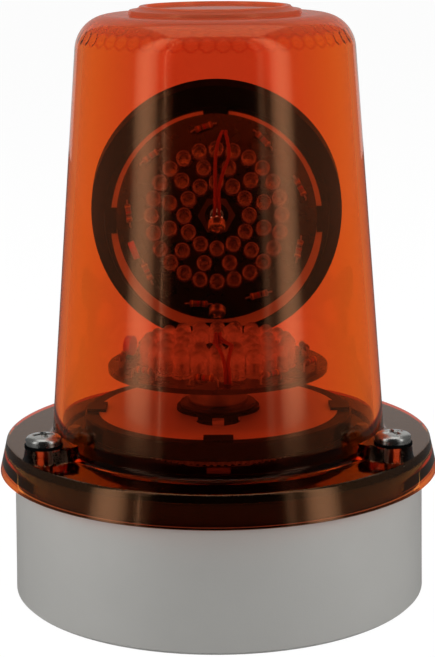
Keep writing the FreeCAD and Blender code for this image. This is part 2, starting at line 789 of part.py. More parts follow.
def make_resistor():
    """Axial resistor lying along X with both leads turned down to z = 0."""
    z = resistor_lift + resistor_r
    half = resistor_len / 2
    reach = half + resistor_lead_out
    r = resistor_lead_r
    body = prism(screw_sides, resistor_r, -half, half)
    body.rotate(V(0, 0, 0), V(0, 1, 0), 90)
    body = at(body, 0, 0, z)
    lead = block(-reach, reach, -r, r, z - r, z + r)
    legs = [block(min(s * reach, s * (reach - 2 * r)), max(s * reach, s * (reach - 2 * r)), -r, r, 0, z)
            for s in (-1, 1)]
    return body.fuse([lead] + legs).removeSplitter()


def make_resistors():
    outer = max(r for r, _ in led_rings()) + led_flange_r
    radius = (outer + board_r) / 2 + 0.3
    parts = []
    for i in range(resistor_count):
        angle = 22.0 + 360.0 * i / resistor_count
        one = make_resistor()
        one.rotate(V(0, 0, 0), V(0, 0, 1), 90 + (14 if i % 2 else -10))
        one.translate(V(radius, 0, board_top))
        one.rotate(V(0, 0, 0), V(0, 0, 1), angle)
        parts.append(one)
    return Part.makeCompound(parts)


def make_disc():
    """Disc-shaped surge absorber standing on the light board's left rear."""
    x, y = polar(board_r - disc_r - 1.0, 158.0)
    body = Part.makeCylinder(disc_r, disc_t, V(0, -disc_t / 2, disc_r), V(0, 1, 0))
    body.rotate(V(0, 0, 0), V(0, 0, 1), 68.0)
    return at(body, x, y, board_top)


def wire_path(points, bend):
    """Straight runs joined by tangent arcs, with one bend radius throughout."""
    edges = []
    last = points[0]
    for i in range(1, len(points) - 1):
        a, b, c = points[i - 1], points[i], points[i + 1]
        u = (a - b).normalize()
        w = (c - b).normalize()
        half = math.acos(max(-1.0, min(1.0, u.dot(w)))) / 2
        cut = bend / math.tan(half)
        p, q = b + u * cut, b + w * cut
        centre = b + (u + w).normalize() * (bend / math.sin(half))
        mid = centre + (b - centre).normalize() * bend
        edges.append(Part.LineSegment(last, p).toShape())
        edges.append(Part.Arc(p, mid, q).toShape())
        last = q
    edges.append(Part.LineSegment(last, points[-1]).toShape())
    return Part.Wire(edges)


def wire_solid(points, bend=wire_bend):
    """Wire of eight-sided section swept along a bent route."""
    path = wire_path(points, bend)
    ahead = (points[1] - points[0]).normalize()
    side = ahead.cross(V(1, 0, 0)).normalize()
    other = ahead.cross(side)
    corners = [points[0] + side * (wire_r * math.cos(math.pi * k / 4))
               + other * (wire_r * math.sin(math.pi * k / 4)) for k in range(8)]
    section = Part.makePolygon(corners + [corners[0]])
    return path.makePipeShell([section], True, False)


def make_lead_wires():
    top = led_top + wire_clear + wire_r
    low = dish_floor_under - column_tail - 7.5
    start_z = base_wall + board_post_h + control_t
    edge_y = -(max(r for r, _ in led_rings()) + led_flange_r + wire_r + wire_out)
    parts = []
    for side in (-1, 1):
        x = side * wire_half_pitch
        over_x = x + (3.2 if side > 0 else 1.6)
        parts.append(wire_solid([V(x, -24, start_z), V(x, -24, low), V(x, 0, low), V(x, 0, top),
                                 V(x, -10, top), V(over_x, edge_y, top), V(over_x, edge_y, board_top)]))
    return Part.makeCompound(parts)


def make_motor_leads():
    start_y = gear_centres - gearbox_r - 1.0
    z = motor_base + 4
    start_z = base_wall + board_post_h + control_t
    return Part.makeCompound([
        wire_solid([V(s * 3.0, start_y, z), V(s * 3.0, -19.5, z), V(s * 3.0, -19.5, start_z)], 1.2)
        for s in (-1, 1)])


def make_control_board():
    z0 = base_wall + board_post_h
    board = block(-control_w / 2, control_w / 2, -control_y - control_d / 2, -control_y + control_d / 2,
                  z0, z0 + control_t)
    for sx in (-1, 1):
        for sy in (-1, 1):
            board = board.cut(cyl(small_screw_r, z0 - 1, z0 + 9, sx * (control_w / 2 - 4),
                                  -control_y + sy * (control_d / 2 - 4)))
    return board


def make_control_screws():
    screw = pan_screw(small_screw_r, control_t + board_post_h - 0.5, small_screw_head_r, small_screw_head_h)
    z = base_wall + board_post_h + control_t
    return Part.makeCompound([at(screw, sx * (control_w / 2 - 4), -control_y + sy * (control_d / 2 - 4), z)
                              for sx in (-1, 1) for sy in (-1, 1)])


def make_terminal_block():
    z = base_wall + board_post_h + control_t
    y0 = -control_y - 5.0
    body = block(-24, -9, y0, y0 + 8, z, z + 10)
    for i in range(3):
        x = -21.5 + 5 * i
        body = body.cut(cyl(1.9, z + 5, z + 11, x, y0 + 4.6))
        body = body.cut(block(x - 1.6, x + 1.6, y0 - 1, y0 + 2, z + 1.5, z + 5))
    return body


def make_terminal_screws():
    z = base_wall + board_post_h + control_t
    parts = []
    for i in range(3):
        head = cyl(1.88, z + 5, z + 8, -21.5 + 5 * i, -control_y - 0.4)
        slot = block(-21.5 + 5 * i - 2, -21.5 + 5 * i + 2, -control_y - 0.75, -control_y - 0.05,
                     z + 7.2, z + 9)
        parts.append(head.cut(slot))
    return Part.makeCompound(parts)


def make_capacitor():
    z = base_wall + board_post_h + control_t
    x, y = 16.0, -control_y - 2
    can = cyl(5.0, z, z + 11.5, x, y)
    groove = tube(5.2, 4.6, z + 1.6, z + 2.2, x, y)
    return can.cut(groove)


def make_driver():
    z = base_wall + board_post_h + control_t
    return block(-3, 5, -control_y - 8, -control_y - 3, z, z + 2.4)


def export_all():
    nodes = {
        "base_housing": make_base, "cable_grommet": make_grommet, "threaded_inserts": make_inserts,
        "dome_gasket": make_gasket, "dome": make_dome, "screw_seals": make_seals,
        "dome_screws": make_dome_screws, "chassis": make_chassis, "index_key": make_key,
        "chassis_screws": make_chassis_screws, "centre_column": make_column,
        "column_nut": make_column_nut, "thrust_washer": make_thrust_washer,
        "retaining_ring": make_retaining_ring, "turntable_bush": make_bush,
        "turntable": make_turntable, "ring_gear": make_ring_gear, "drive_pinion": make_pinion,
        "drive_shaft": make_shaft, "gearbox": make_gearbox, "motor_can": make_motor,
        "motor_tabs": make_motor_tabs, "motor_screws": make_gear_screws,
        "reflector_plate": make_plate, "index_magnet": make_magnet, "mirror_frame": make_frame,
        "mirror": make_mirror, "mirror_screws": make_mirror_screws, "mirror_arm": make_arm,
        "arm_screws": make_arm_screws, "board_mount": make_board_mount,
        "led_board": make_led_board, "board_nut": make_board_nut, "leds": make_leds,
        "resistors": make_resistors, "surge_disc": make_disc, "lead_wires": make_lead_wires,
        "motor_leads": make_motor_leads, "control_board": make_control_board,
        "control_screws": make_control_screws, "terminal_block": make_terminal_block,
        "terminal_screws": make_terminal_screws, "capacitor": make_capacitor,
        "driver_chip": make_driver,
    }
    for name, make in nodes.items():
        shape = make()
        if not shape.isValid():
            raise ValueError(name + " is not a valid shape")
        shape.exportStep("parts/" + name + ".step")


export_all()
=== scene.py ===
"""Looks of the rotating beacon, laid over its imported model.

Every piece is in metres in the model's own frame: +Z up, the mirror faces -Y at rest.
Sizes in the classes below are in millimetres and are scaled once, when a mesh is made.
"""
import json
import logging
import math
from dataclasses import dataclass, field
from enum import Enum
from typing import Optional, Sequence

import bpy
import numpy as np
from mathutils import Matrix


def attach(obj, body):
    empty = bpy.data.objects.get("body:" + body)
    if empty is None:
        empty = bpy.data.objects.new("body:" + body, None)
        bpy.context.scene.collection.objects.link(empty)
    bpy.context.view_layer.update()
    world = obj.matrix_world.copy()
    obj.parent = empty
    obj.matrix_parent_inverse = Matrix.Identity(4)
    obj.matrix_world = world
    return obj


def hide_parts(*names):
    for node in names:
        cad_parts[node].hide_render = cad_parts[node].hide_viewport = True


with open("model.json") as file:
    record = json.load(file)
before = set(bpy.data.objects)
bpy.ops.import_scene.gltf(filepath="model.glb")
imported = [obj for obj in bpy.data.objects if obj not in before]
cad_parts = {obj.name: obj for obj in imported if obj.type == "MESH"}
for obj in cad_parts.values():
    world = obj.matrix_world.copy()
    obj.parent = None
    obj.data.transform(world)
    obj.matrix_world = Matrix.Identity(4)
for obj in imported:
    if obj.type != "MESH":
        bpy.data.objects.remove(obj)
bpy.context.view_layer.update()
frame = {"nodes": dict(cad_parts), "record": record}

MM = 0.001
LOG = logging.getLogger("beacon")
Colour = tuple[float, float, float]
Array = np.ndarray
Surface = tuple[np.ndarray, list[np.ndarray]]
WHITE = (1.0, 1.0, 1.0, 1.0)

# Sizes that several pieces share, in millimetres and degrees.
FLANGE_Z = 50.1
TAPER_DEG = 4.6
BOARD_Z = 73.1
SCREW_CIRCLE_R = 61.8
LUG_ANGLES = (-30.0, 90.0, 210.0)


class Body(Enum):
    """The rigid bodies that the new pieces ride on."""

    HOUSING = "housing"
    ROTOR = "rotor"


# ---------------------------------------------------------------- surfaces


def smooth_step(low: float, high: float, value: Array) -> Array:
    """Cubic blend: t = clip((v - low) / (high - low), 0, 1), result t*t*(3 - 2t).

    Args:
        low: value where the blend is 0.
        high: value where the blend is 1.
        value: where it is read.

    Returns:
        The blend, from 0 to 1.
    """
    t = np.clip((value - low) / (high - low), 0.0, 1.0)
    return t * t * (3.0 - 2.0 * t)


def to_object(name: str, verts: Array, faces: Sequence[Array], sharp_deg: float = 35.0) -> bpy.types.Object:
    """Puts arrays of vertices and faces into a new smooth-shaded object at the origin.

    Args:
        name: object's name.
        verts: points in millimetres, one row each.
        faces: arrays of vertex numbers, each with 3 or 4 columns.
        sharp_deg: edges that turn by more than this stay sharp.

    Returns:
        The new object.
    """
    mesh = bpy.data.meshes.new(name)
    rows: list[list[int]] = []
    for block in faces:
        rows.extend(np.asarray(block, dtype=int).tolist())
    mesh.from_pydata((np.asarray(verts, dtype=float) * MM).tolist(), [], rows)
    mesh.update()
    mesh.shade_smooth()
    mesh.set_sharp_from_angle(angle=math.radians(sharp_deg))
    obj = bpy.data.objects.new(name, mesh)
    bpy.context.collection.objects.link(obj)
    return obj


def grid_faces(rows: int, cols: int, wrap_rows: bool, wrap_cols: bool) -> Array:
    """Quads over a rows x cols grid of points, turning from columns to rows.

    Args:
        rows: number of rows.
        cols: number of columns.
        wrap_rows: joins the last row to the first.
        wrap_cols: joins the last column to the first.

    Returns:
        Array of vertex numbers with 4 columns.
    """
    i = np.arange(rows if wrap_rows else rows - 1)
    j = np.arange(cols if wrap_cols else cols - 1)
    a, b = np.meshgrid(i, j, indexing="ij")
    a2, b2 = (a + 1) % rows, (b + 1) % cols
    quads = np.stack([a * cols + b, a * cols + b2, a2 * cols + b2, a2 * cols + b], axis=-1)
    return quads.reshape(-1, 4)


def full_turn(cols: int) -> Array:
    """Angles of evenly spaced columns round an axis, in radians."""
    return np.linspace(0.0, 2.0 * math.pi, cols, endpoint=False)


def capped_arrays(body: Array, rows: int, cols: int, first: Sequence[float],
                  last: Sequence[float]) -> Surface:
    """Rows of points round an axis, closed at each end by a fan of triangles to one pole.

    Args:
        body: points, row after row.
        rows: number of rows.
        cols: points in each row.
        first: pole that closes the first row.
        last: pole that closes the last row.

    Returns:
        Vertices with the two poles last, and face arrays.
    """
    j = np.arange(cols)
    j2 = (j + 1) % cols
    end = (rows - 1) * cols
    fans = [np.stack([np.full(cols, len(body)), j2, j], axis=-1),
            np.stack([np.full(cols, len(body) + 1), end + j, end + j2], axis=-1)]
    return np.vstack([body, [first], [last]]), [grid_faces(rows, cols, False, True)] + fans


def turned_arrays(profile: Array, cols: int, lift: Optional[Array] = None) -> Surface:
    """Surface of revolution x = r cos(a), y = r sin(a), z = z(s) for a profile (r, z)(s).

    The profile starts and ends on the axis and runs clockwise in (r, z) as a solid's
    outline does from its lowest pole to its highest, so faces point outwards.

    Args:
        profile: (r, z) rows, first and last with r = 0.
        cols: columns round the axis.
        lift: added to z, one value per inner row and column.

    Returns:
        Vertices and face arrays, poles closed by fans.
    """
    inner = profile[1:-1]
    angle = full_turn(cols)
    r, z = inner[:, :1], inner[:, 1:]
    x, y = r * np.cos(angle), r * np.sin(angle)
    height = z + (lift if lift is not None else np.zeros_like(x))
    body = np.stack([x, y, height], axis=-1).reshape(-1, 3)
    return capped_arrays(body, len(inner), cols, (0.0, 0.0, profile[0, 1]), (0.0, 0.0, profile[-1, 1]))


def ring_arrays(outline: Array, cols: int) -> Surface:
    """Closed (r, z) outline turned about Z: x = r cos(a), y = r sin(a).

    Args:
        outline: (r, z) rows, anticlockwise with r to the right and z up seen from -Y.
        cols: columns round the axis.

    Returns:
        Vertices and face arrays.
    """
    angle = full_turn(cols)
    r, z = outline[:, :1], outline[:, 1:]
    points = np.stack([r * np.cos(angle), r * np.sin(angle), z + 0.0 * angle], axis=-1)
    return points.reshape(-1, 3), [grid_faces(len(outline), cols, True, True)]


def tube_arrays(path: Array, radius: Array, sides: int, side_axis: Array) -> Surface:
    """Circle carried along a path: p(s) + radius(s) (cos(a) n(s) + sin(a) b(s)), ends capped.

    n is the side axis with its part along the tangent taken away, and b = tangent x n.

    Args:
        path: points of the middle line.
        radius: radius at each point.
        sides: points round the circle.
        side_axis: a direction that the path never follows.

    Returns:
        Vertices and face arrays.
    """
    tangent = np.gradient(path, axis=0)
    tangent /= np.linalg.norm(tangent, axis=1, keepdims=True)
    n = side_axis - (tangent @ side_axis)[:, None] * tangent
    n /= np.linalg.norm(n, axis=1, keepdims=True)
    b = np.cross(tangent, n)
    angle = full_turn(sides)
    ring = np.cos(angle)[None, :, None] * n[:, None, :] + np.sin(angle)[None, :, None] * b[:, None, :]
    points = path[:, None, :] + radius[:, None, None] * ring
    return capped_arrays(points.reshape(-1, 3), len(path), sides, path[0], path[-1])


def smooth_curve(points: Array, per_span: int) -> Array:
    """Catmull-Rom curve through the points: cubic in each span, tangents (p[i+1] - p[i-1]) / 2.

    Args:
        points: points the curve goes through.
        per_span: samples in each span.

    Returns:
        Sampled points.
    """
    p = np.vstack([2 * points[0] - points[1], points, 2 * points[-1] - points[-2]])
    t = np.linspace(0.0, 1.0, per_span, endpoint=False)[None, :, None]
    a, b, c, d = (p[i:len(p) - 3 + i, None, :] for i in range(4))
    curve = 0.5 * (2 * b + (c - a) * t + (2 * a - 5 * b + 4 * c - d) * t ** 2
                   + (3 * b - a - 3 * c + d) * t ** 3)
    return np.vstack([curve.reshape(-1, 3), points[-1:]])


def repeat_arrays(verts: Array, faces: Sequence[Array], places: Array) -> Surface:
    """Copies one shape by a list of 4x4 places: v' = M v, numbers shifted by the copy's start.

    Args:
        verts: points of one shape.
        faces: its face arrays.
        places: matrices, shape (copies, 4, 4).

    Returns:
        Joined vertices and face arrays.
    """
    ones = np.hstack([verts, np.ones((len(verts), 1))])
    moved = np.einsum("nij,vj->nvi", places, ones)[..., :3].reshape(-1, 3)
    shift = np.arange(len(places))[:, None, None] * len(verts)
    return moved, [(f[None] + shift).reshape(-1, f.shape[1]) for f in faces]


def place(x: float = 0.0, y: float = 0.0, z: float = 0.0, turn_deg: float = 0.0) -> Array:
    """4x4 matrix: a turn about Z, then a move.

    Args:
        x: move along X.
        y: move along Y.
        z: move along Z.
        turn_deg: turn about Z, degrees.

    Returns:
        The matrix.
    """
    a = math.radians(turn_deg)
    m = np.eye(4)
    m[:2, :2] = [[math.cos(a), -math.sin(a)], [math.sin(a), math.cos(a)]]
    m[:3, 3] = (x, y, z)
    return m


def ring_place(radius: float, angle_deg: float, z: float, turn_deg: float) -> Array:
    """4x4 matrix of a spot on a circle round Z.

    Args:
        radius: circle's radius.
        angle_deg: where on the circle, degrees.
        z: height.
        turn_deg: the piece's own turn about Z, degrees.

    Returns:
        The matrix.
    """
    a = math.radians(angle_deg)
    return place(radius * math.cos(a), radius * math.sin(a), z, turn_deg)


def line(p: Sequence[float], q: Sequence[float], count: int) -> Array:
    """Evenly spaced points from p up to, and without, q."""
    t = np.linspace(0.0, 1.0, count, endpoint=False)[:, None]
    return np.asarray(p, float) * (1 - t) + np.asarray(q, float) * t


def arc(centre: Sequence[float], radius: float, start_deg: float, end_deg: float, count: int) -> Array:
    """Points c + radius (cos a, sin a) from one angle up to, and without, another."""
    a = np.radians(np.linspace(start_deg, end_deg, count, endpoint=False))[:, None]
    return np.asarray(centre, float) + radius * np.hstack([np.cos(a), np.sin(a)])


def merged_copy(node: str, name: str, sharp_deg: float = 33.0) -> bpy.types.Object:
    """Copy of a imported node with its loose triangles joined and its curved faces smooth.

    Args:
        node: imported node's name.
        name: new object's name.
        sharp_deg: edges that turn by more than this stay sharp.

    Returns:
        The new object, in place of the node.
    """
    source = frame["nodes"][node].data
    count = len(source.vertices)
    flat = np.empty(count * 3)
    source.vertices.foreach_get("co", flat)
    points = flat.reshape(-1, 3) / MM
    _, first, number = np.unique(np.round(points, 4), axis=0, return_index=True, return_inverse=True)
    corners = np.empty(len(source.loops), dtype=np.int32)
    source.loops.foreach_get("vertex_index", corners)
    tris = number.reshape(-1)[corners].reshape(-1, 3)
    keep = (tris[:, 0] != tris[:, 1]) & (tris[:, 1] != tris[:, 2]) & (tris[:, 0] != tris[:, 2])
    obj = to_object(name, points[first], [tris[keep]], sharp_deg)
    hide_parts(node)
    return obj


# ---------------------------------------------------------------- finishes


class Graph:
    """Builds one material, or the world, node by node."""

    def __init__(self, name: str, world: bool = False) -> None:
        """Starts an empty material, or an empty world.

        Args:
            name: its name.
            world: makes a world in place of a material.
        """
        self.owner = bpy.data.worlds.new(name) if world else bpy.data.materials.new(name)
        self.owner.use_nodes = True
        self.tree = self.owner.node_tree
        self.tree.nodes.clear()
        self.output = self.tree.nodes.new("ShaderNodeOutputWorld" if world else "ShaderNodeOutputMaterial")
        self._coords: Optional[bpy.types.NodeSocket] = None

    def add(self, kind: str, values: Optional[dict] = None, **settings: object) -> bpy.types.Node:
        """Adds a node.

        Args:
            kind: node type without its ShaderNode prefix.
            values: numbers or sockets for its inputs, by name or number.
            settings: node properties.

        Returns:
            The node.
        """
        node = self.tree.nodes.new("ShaderNode" + kind)
        for key, value in settings.items():
            setattr(node, key, value)
        for key, value in (values or {}).items():
            if isinstance(value, bpy.types.NodeSocket):
                self.tree.links.new(value, node.inputs[key])
            else:
                node.inputs[key].default_value = value
        return node

    def coords(self, scale: Colour = (1.0, 1.0, 1.0)) -> bpy.types.NodeSocket:
        """Object coordinates, stretched by a scale.

        Args:
            scale: stretch on each axis.

        Returns:
            The coordinates.
        """
        if self._coords is None:
            self._coords = self.add("TexCoord").outputs["Object"]
        return self.add("Mapping", {"Vector": self._coords, "Scale": scale}).outputs["Vector"]

    def noise(self, scale: float, detail: float = 4.0, rough: float = 0.55,
              stretch: Colour = (1.0, 1.0, 1.0)) -> bpy.types.NodeSocket:
        """Noise value over the object's own coordinates.

        Args:
            scale: how fine it is.
            detail: octaves.
            rough: weight of the finer octaves.
            stretch: scale of the coordinates on each axis.

        Returns:
            The value.
        """
        values = {"Vector": self.coords(stretch), "Scale": scale, "Detail": detail, "Roughness": rough}
        return self.add("TexNoise", values).outputs["Fac"]

    def blend(self, factor: bpy.types.NodeSocket, a: Colour, b: Colour) -> bpy.types.NodeSocket:
        """Colour that goes from a to b as the factor goes from 0.3 to 0.7.

        Args:
            factor: what drives it.
            a: colour at the low end.
            b: colour at the high end.

        Returns:
            The colour.
        """
        ramp = self.add("ValToRGB", {"Fac": factor})
        ramp.color_ramp.elements[0].position = 0.3
        ramp.color_ramp.elements[1].position = 0.7
        ramp.color_ramp.elements[0].color = (*a, 1.0)
        ramp.color_ramp.elements[1].color = (*b, 1.0)
        return ramp.outputs["Color"]

    def span(self, factor: bpy.types.NodeSocket, low: float, high: float) -> bpy.types.NodeSocket:
        """Number from low to high as the factor goes from 0.25 to 0.75."""
        values = {"Value": factor, "From Min": 0.25, "From Max": 0.75, "To Min": low, "To Max": high}
        return self.add("MapRange", values).outputs["Result"]

    def bump(self, height: bpy.types.NodeSocket, depth: float, strength: float = 1.0) -> bpy.types.NodeSocket:
        """Bumped normal from a height of that depth in metres."""
        return self.add("Bump", {"Height": height, "Distance": depth, "Strength": strength}).outputs["Normal"]

    def math(self, operation: str, a: object, b: object) -> bpy.types.NodeSocket:
        """Result of one sum on two numbers or sockets."""
        return self.add("Math", {0: a, 1: b}, operation=operation).outputs[0]

    def mix(self, share: object, a: bpy.types.NodeSocket, b: bpy.types.NodeSocket) -> bpy.types.NodeSocket:
        """Shader that goes from a to b as the share goes from 0 to 1."""
        return self.add("MixShader", {0: share, 1: a, 2: b}).outputs["Shader"]

    def milk(self, colour: Colour) -> bpy.types.NodeSocket:
        """Milky plastic: half scattered back and half scattered onwards.

        Args:
            colour: of the milk.

        Returns:
            The shader.
        """
        front = self.add("BsdfDiffuse", {"Color": (*colour, 1.0)}).outputs["BSDF"]
        back = self.add("BsdfTranslucent", {"Color": (*colour, 1.0)}).outputs["BSDF"]
        return self.mix(0.5, back, front)

    def seen(self) -> bpy.types.NodeSocket:
        """1 for camera, glossy and transmission rays, 0 for all others.

        Returns:
            The number.
        """
        path = self.add("LightPath").outputs
        direct = self.math("MAXIMUM", path["Is Camera Ray"], path["Is Glossy Ray"])
        return self.math("MAXIMUM", direct, path["Is Transmission Ray"])

    def finish(self, shader: bpy.types.NodeSocket) -> bpy.types.ID:
        """Joins the shader to the output and hands the material or world over."""
        self.tree.links.new(shader, self.output.inputs["Surface"])
        return self.owner

    def solid(self, values: dict) -> bpy.types.Material:
        """Finishes a material that is one Principled shader with these inputs."""
        return self.finish(self.add("BsdfPrincipled", values).outputs["BSDF"])

    def see_through(self, skin: bpy.types.NodeSocket, pane: Colour, absorb: Colour,
                    density: float) -> bpy.types.Material:
        """Finishes a see-through material: its shadow is a tinted pane, its body absorbs.

        Args:
            skin: shader of the surface.
            pane: tint of the light that passes as shadow.
            absorb: colour that the body lets through.
            density: of the absorption, per metre.

        Returns:
            The material.
        """
        through = self.add("BsdfTransparent", {"Color": (*pane, 1.0)}).outputs["BSDF"]
        volume = self.add("VolumeAbsorption", {"Color": (*absorb, 1.0), "Density": density})
        self.tree.links.new(volume.outputs["Volume"], self.output.inputs["Volume"])
        shadow = self.add("LightPath").outputs["Is Shadow Ray"]
        return self.finish(self.mix(shadow, skin, through))


def shade(colour: Colour, factor: float) -> Colour:
    """Colour made darker or lighter by a factor."""
    return (min(colour[0] * factor, 1.0), min(colour[1] * factor, 1.0), min(colour[2] * factor, 1.0))


@dataclass(frozen=True)
class Moulding:
    """Moulded plastic: fine spark-eroded grain, faint flow mottle, rubbed roughness."""

    name: str
    colour: Colour
    roughness: float = 0.4
    grain: float = 2600.0
    depth: float = 0.00004
    mottle: float = 0.06
    specular: float = 0.5

    def make(self) -> bpy.types.Material:
        """Builds this finish.

        Returns:
            The material.
        """
        g = Graph(self.name)
        cloud = g.noise(24.0, 3.0)
        base = g.blend(cloud, shade(self.colour, 1.0 - self.mottle), shade(self.colour, 1.0 + self.mottle))
        fine = g.noise(self.grain, 2.0, 0.6)
        wear = g.noise(70.0, 5.0, 0.6)
        values = {"Base Color": base, "Specular IOR Level": self.specular,
                  "Roughness": g.span(wear, self.roughness - 0.05, self.roughness + 0.05),
                  "Normal": g.bump(fine, self.depth, 0.6)}
        return g.solid(values)


class MetalFace(Enum):
    """How a metal face was made."""

    TURNED = "turned"
    PLATED = "plated"
    OXIDE = "oxide"


@dataclass(frozen=True)
class Metal:
    """Metal with turning lines, plating haze or an oxide skin."""

    name: str
    colour: Colour
    roughness: float
    face: MetalFace = MetalFace.PLATED

    def make(self) -> bpy.types.Material:
        """Builds this finish.

        Returns:
            The material.
        """
        g = Graph(self.name)
        if self.face is MetalFace.TURNED:
            mark = g.noise(30.0, 6.0, 0.7, (1.0, 1.0, 120.0))
            depth = 0.00003
        elif self.face is MetalFace.PLATED:
            mark = g.noise(900.0, 4.0, 0.6)
            depth = 0.00001
        else:
            mark = g.noise(1800.0, 5.0, 0.65)
            depth = 0.00002
        haze = g.noise(160.0, 5.0, 0.6)
        base = g.blend(haze, shade(self.colour, 0.9), shade(self.colour, 1.05))
        values = {"Base Color": base, "Metallic": 1.0,
                  "Roughness": g.span(haze, self.roughness * 0.8, self.roughness * 1.3),
                  "Normal": g.bump(mark, depth, 0.5)}
        return g.solid(values)


@dataclass(frozen=True)
class ClearPlastic:
    """Clear plastic: refracting skin over an absorbing body; light passes through it as shadow."""

    name: str
    absorb: Colour
    density: float
    ior: float
    roughness: float
    ripple: float
    cloud: float
    straight: float = 0.35
    haze: Colour = (0.95, 0.93, 0.9)
    top_cloud: float = 0.04

    def make(self) -> bpy.types.Material:
        """Material of this finish: the milk lies on the sides and fades towards the top.

        Returns:
            The material.
        """
        g = Graph(self.name)
        dust = g.noise(420.0, 5.0, 0.7)
        values = {"Base Color": WHITE, "Transmission Weight": 1.0, "IOR": self.ior,
                  "Roughness": g.span(dust, self.roughness * 0.5, self.roughness * 1.5),
                  "Normal": g.bump(g.noise(38.0, 2.0, 0.4), self.ripple)}
        skin = g.add("BsdfPrincipled", values).outputs["BSDF"]
        up = g.add("SeparateXYZ", {"Vector": g.add("NewGeometry").outputs["Normal"]}).outputs["Z"]
        side = g.add("MapRange", {"Value": up, "From Min": 0.15, "From Max": 0.75, "To Min": 1.0,
                                  "To Max": self.top_cloud}).outputs["Result"]
        uneven = g.span(g.noise(260.0, 3.0), self.cloud * 0.6, self.cloud * 1.4)
        skin = g.mix(g.math("MULTIPLY", uneven, side), skin, g.milk(self.haze))
        clear = g.add("BsdfTransparent", {"Color": (0.96, 0.96, 0.96, 1.0)}).outputs["BSDF"]
        return g.see_through(g.mix(self.straight, skin, clear), WHITE[:3], self.absorb, self.density)


@dataclass(frozen=True)
class TintedShell:
    """Tinted dome plastic: refracting, absorbing wall with a faint tinted sheen of its own.

    Light on its way to the pieces inside passes as through a tinted pane. The wall's tint carries a painted
    edge glow where the wall is seen at a slant, and painted shade on the relief's grooves and the skirt's
    lower edge.
    """

    name: str
    absorb: Colour
    density: float
    pane: Colour
    sheen: Colour
    face: Colour = (0.83, 0.315, 0.187)
    # rim and the edge glow span: painted edge glow, the wall's tint turning lighter and yellower where the
    # wall is seen at a slant.
    rim: Colour = (1.0, 0.8, 0.2)
    edge_glow_from: float = 0.08
    edge_glow_full_at: float = 0.6
    # deep: painted shade, a darker tint multiplied in where the 'deep' attribute marks the relief's grooves
    # and the skirt's lower edge.
    deep: Colour = (0.72, 0.30, 0.25)
    lug_from: float = 0.0503
    lug_to: float = 0.0556
    frost: Colour = (0.80, 0.22, 0.10)
    frost_share: float = 0.6
    frost_from: float = 0.1765
    frost_to: float = 0.1845
    sheen_share: float = 0.10
    gloss: Colour = (1.0, 0.55, 0.35)
    ior: float = 1.25
    roughness: float = 0.02

    def make(self) -> bpy.types.Material:
        """Builds this finish.

        Returns:
            The material.
        """
        g = Graph(self.name)
        dust = g.noise(380.0, 6.0, 0.7)
        bumped = g.bump(g.noise(30.0, 2.0, 0.4), 0.000006)
        # Painted edge glow: the tint goes from face to rim as the wall turns away from the view.
        edge = g.add("LayerWeight", {"Blend": 0.5}).outputs["Facing"]
        slant = g.add("MapRange", {"Value": edge, "From Min": self.edge_glow_from,
                                   "From Max": self.edge_glow_full_at}).outputs["Result"]
        wall = g.add("MixRGB", {0: slant, 1: (*self.face, 1.0), 2: (*self.rim, 1.0)}).outputs["Color"]
        # Painted shade: where the 'deep' attribute is set, on the relief's grooves and the skirt's lower
        # edge, the tint is multiplied by the darker deep colour.
        painted_shade_share = g.add("Attribute", attribute_name="deep").outputs["Fac"]
        tint = g.add("MixRGB", {0: painted_shade_share, 1: wall, 2: (*self.deep, 1.0)},
                     blend_type="MULTIPLY").outputs["Color"]
        values = {"Base Color": tint, "Transmission Weight": 1.0, "IOR": self.ior,
                  "Specular Tint": (*self.gloss, 1.0),
                  "Roughness": g.span(dust, self.roughness * 0.5, self.roughness * 1.5), "Normal": bumped}
        skin = g.add("BsdfPrincipled", values).outputs["BSDF"]
        glow = g.add("BsdfAnisotropic", {"Color": (*self.sheen, 1.0), "Roughness": g.span(dust, 0.1, 0.16),
                                         "Normal": bumped}).outputs["BSDF"]
        height = g.add("SeparateXYZ", {"Vector": g.coords()}).outputs["Z"]
        skin = g.mix(self.sheen_over(g, height), skin, glow)
        top = g.add("MapRange", {"Value": height, "From Min": self.frost_from, "From Max": self.frost_to,
                                 "To Min": 0.0, "To Max": self.frost_share},
                    interpolation_type="SMOOTHSTEP").outputs["Result"]
        return g.see_through(g.mix(top, skin, g.milk(self.frost)), self.pane, self.absorb, self.density)

    def sheen_over(self, g: Graph, height: bpy.types.NodeSocket) -> bpy.types.NodeSocket:
        """Share of the sheen: on outer faces only, and not at the lugs' height.

        Args:
            g: the material being built.
            height: height of the point, metres.

        Returns:
            The share.
        """
        inside = g.add("NewGeometry").outputs["Backfacing"]
        share = g.add("MapRange", {"Value": inside, "To Min": self.sheen_share, "To Max": 0.0})
        off_lug = g.math("MAXIMUM", g.math("GREATER_THAN", height, self.lug_to),
                         g.math("LESS_THAN", height, self.lug_from))
        return g.math("MULTIPLY", share.outputs["Result"], off_lug)


@dataclass(frozen=True)
class Rubber:
    """Soft rubber: matte, faintly dusty."""

    name: str
    colour: Colour = (0.0015, 0.0015, 0.0015)

    def make(self) -> bpy.types.Material:
        """Builds this finish.

        Returns:
            The material.
        """
        g = Graph(self.name)
        dust = g.noise(240.0, 5.0, 0.65)
        base = g.blend(dust, self.colour, shade(self.colour, 1.9))
        values = {"Base Color": base, "Roughness": g.span(dust, 0.62, 0.8), "Specular IOR Level": 0.02,
                  "Normal": g.bump(g.noise(1500.0, 3.0), 0.00003, 0.6)}
        return g.solid(values)


@dataclass(frozen=True)
class Silvering:
    """Flat mirror: bright metal film with a trace of dust."""

    name: str = "mirror_silver"

    def make(self) -> bpy.types.Material:
        """Builds this finish.

        Returns:
            The material.
        """
        g = Graph(self.name)
        dust = g.noise(300.0, 6.0, 0.7)
        values = {"Base Color": g.blend(dust, (0.86, 0.86, 0.86), (0.93, 0.93, 0.93)), "Metallic": 1.0,
                  "Roughness": g.span(dust, 0.008, 0.03)}
        return g.solid(values)


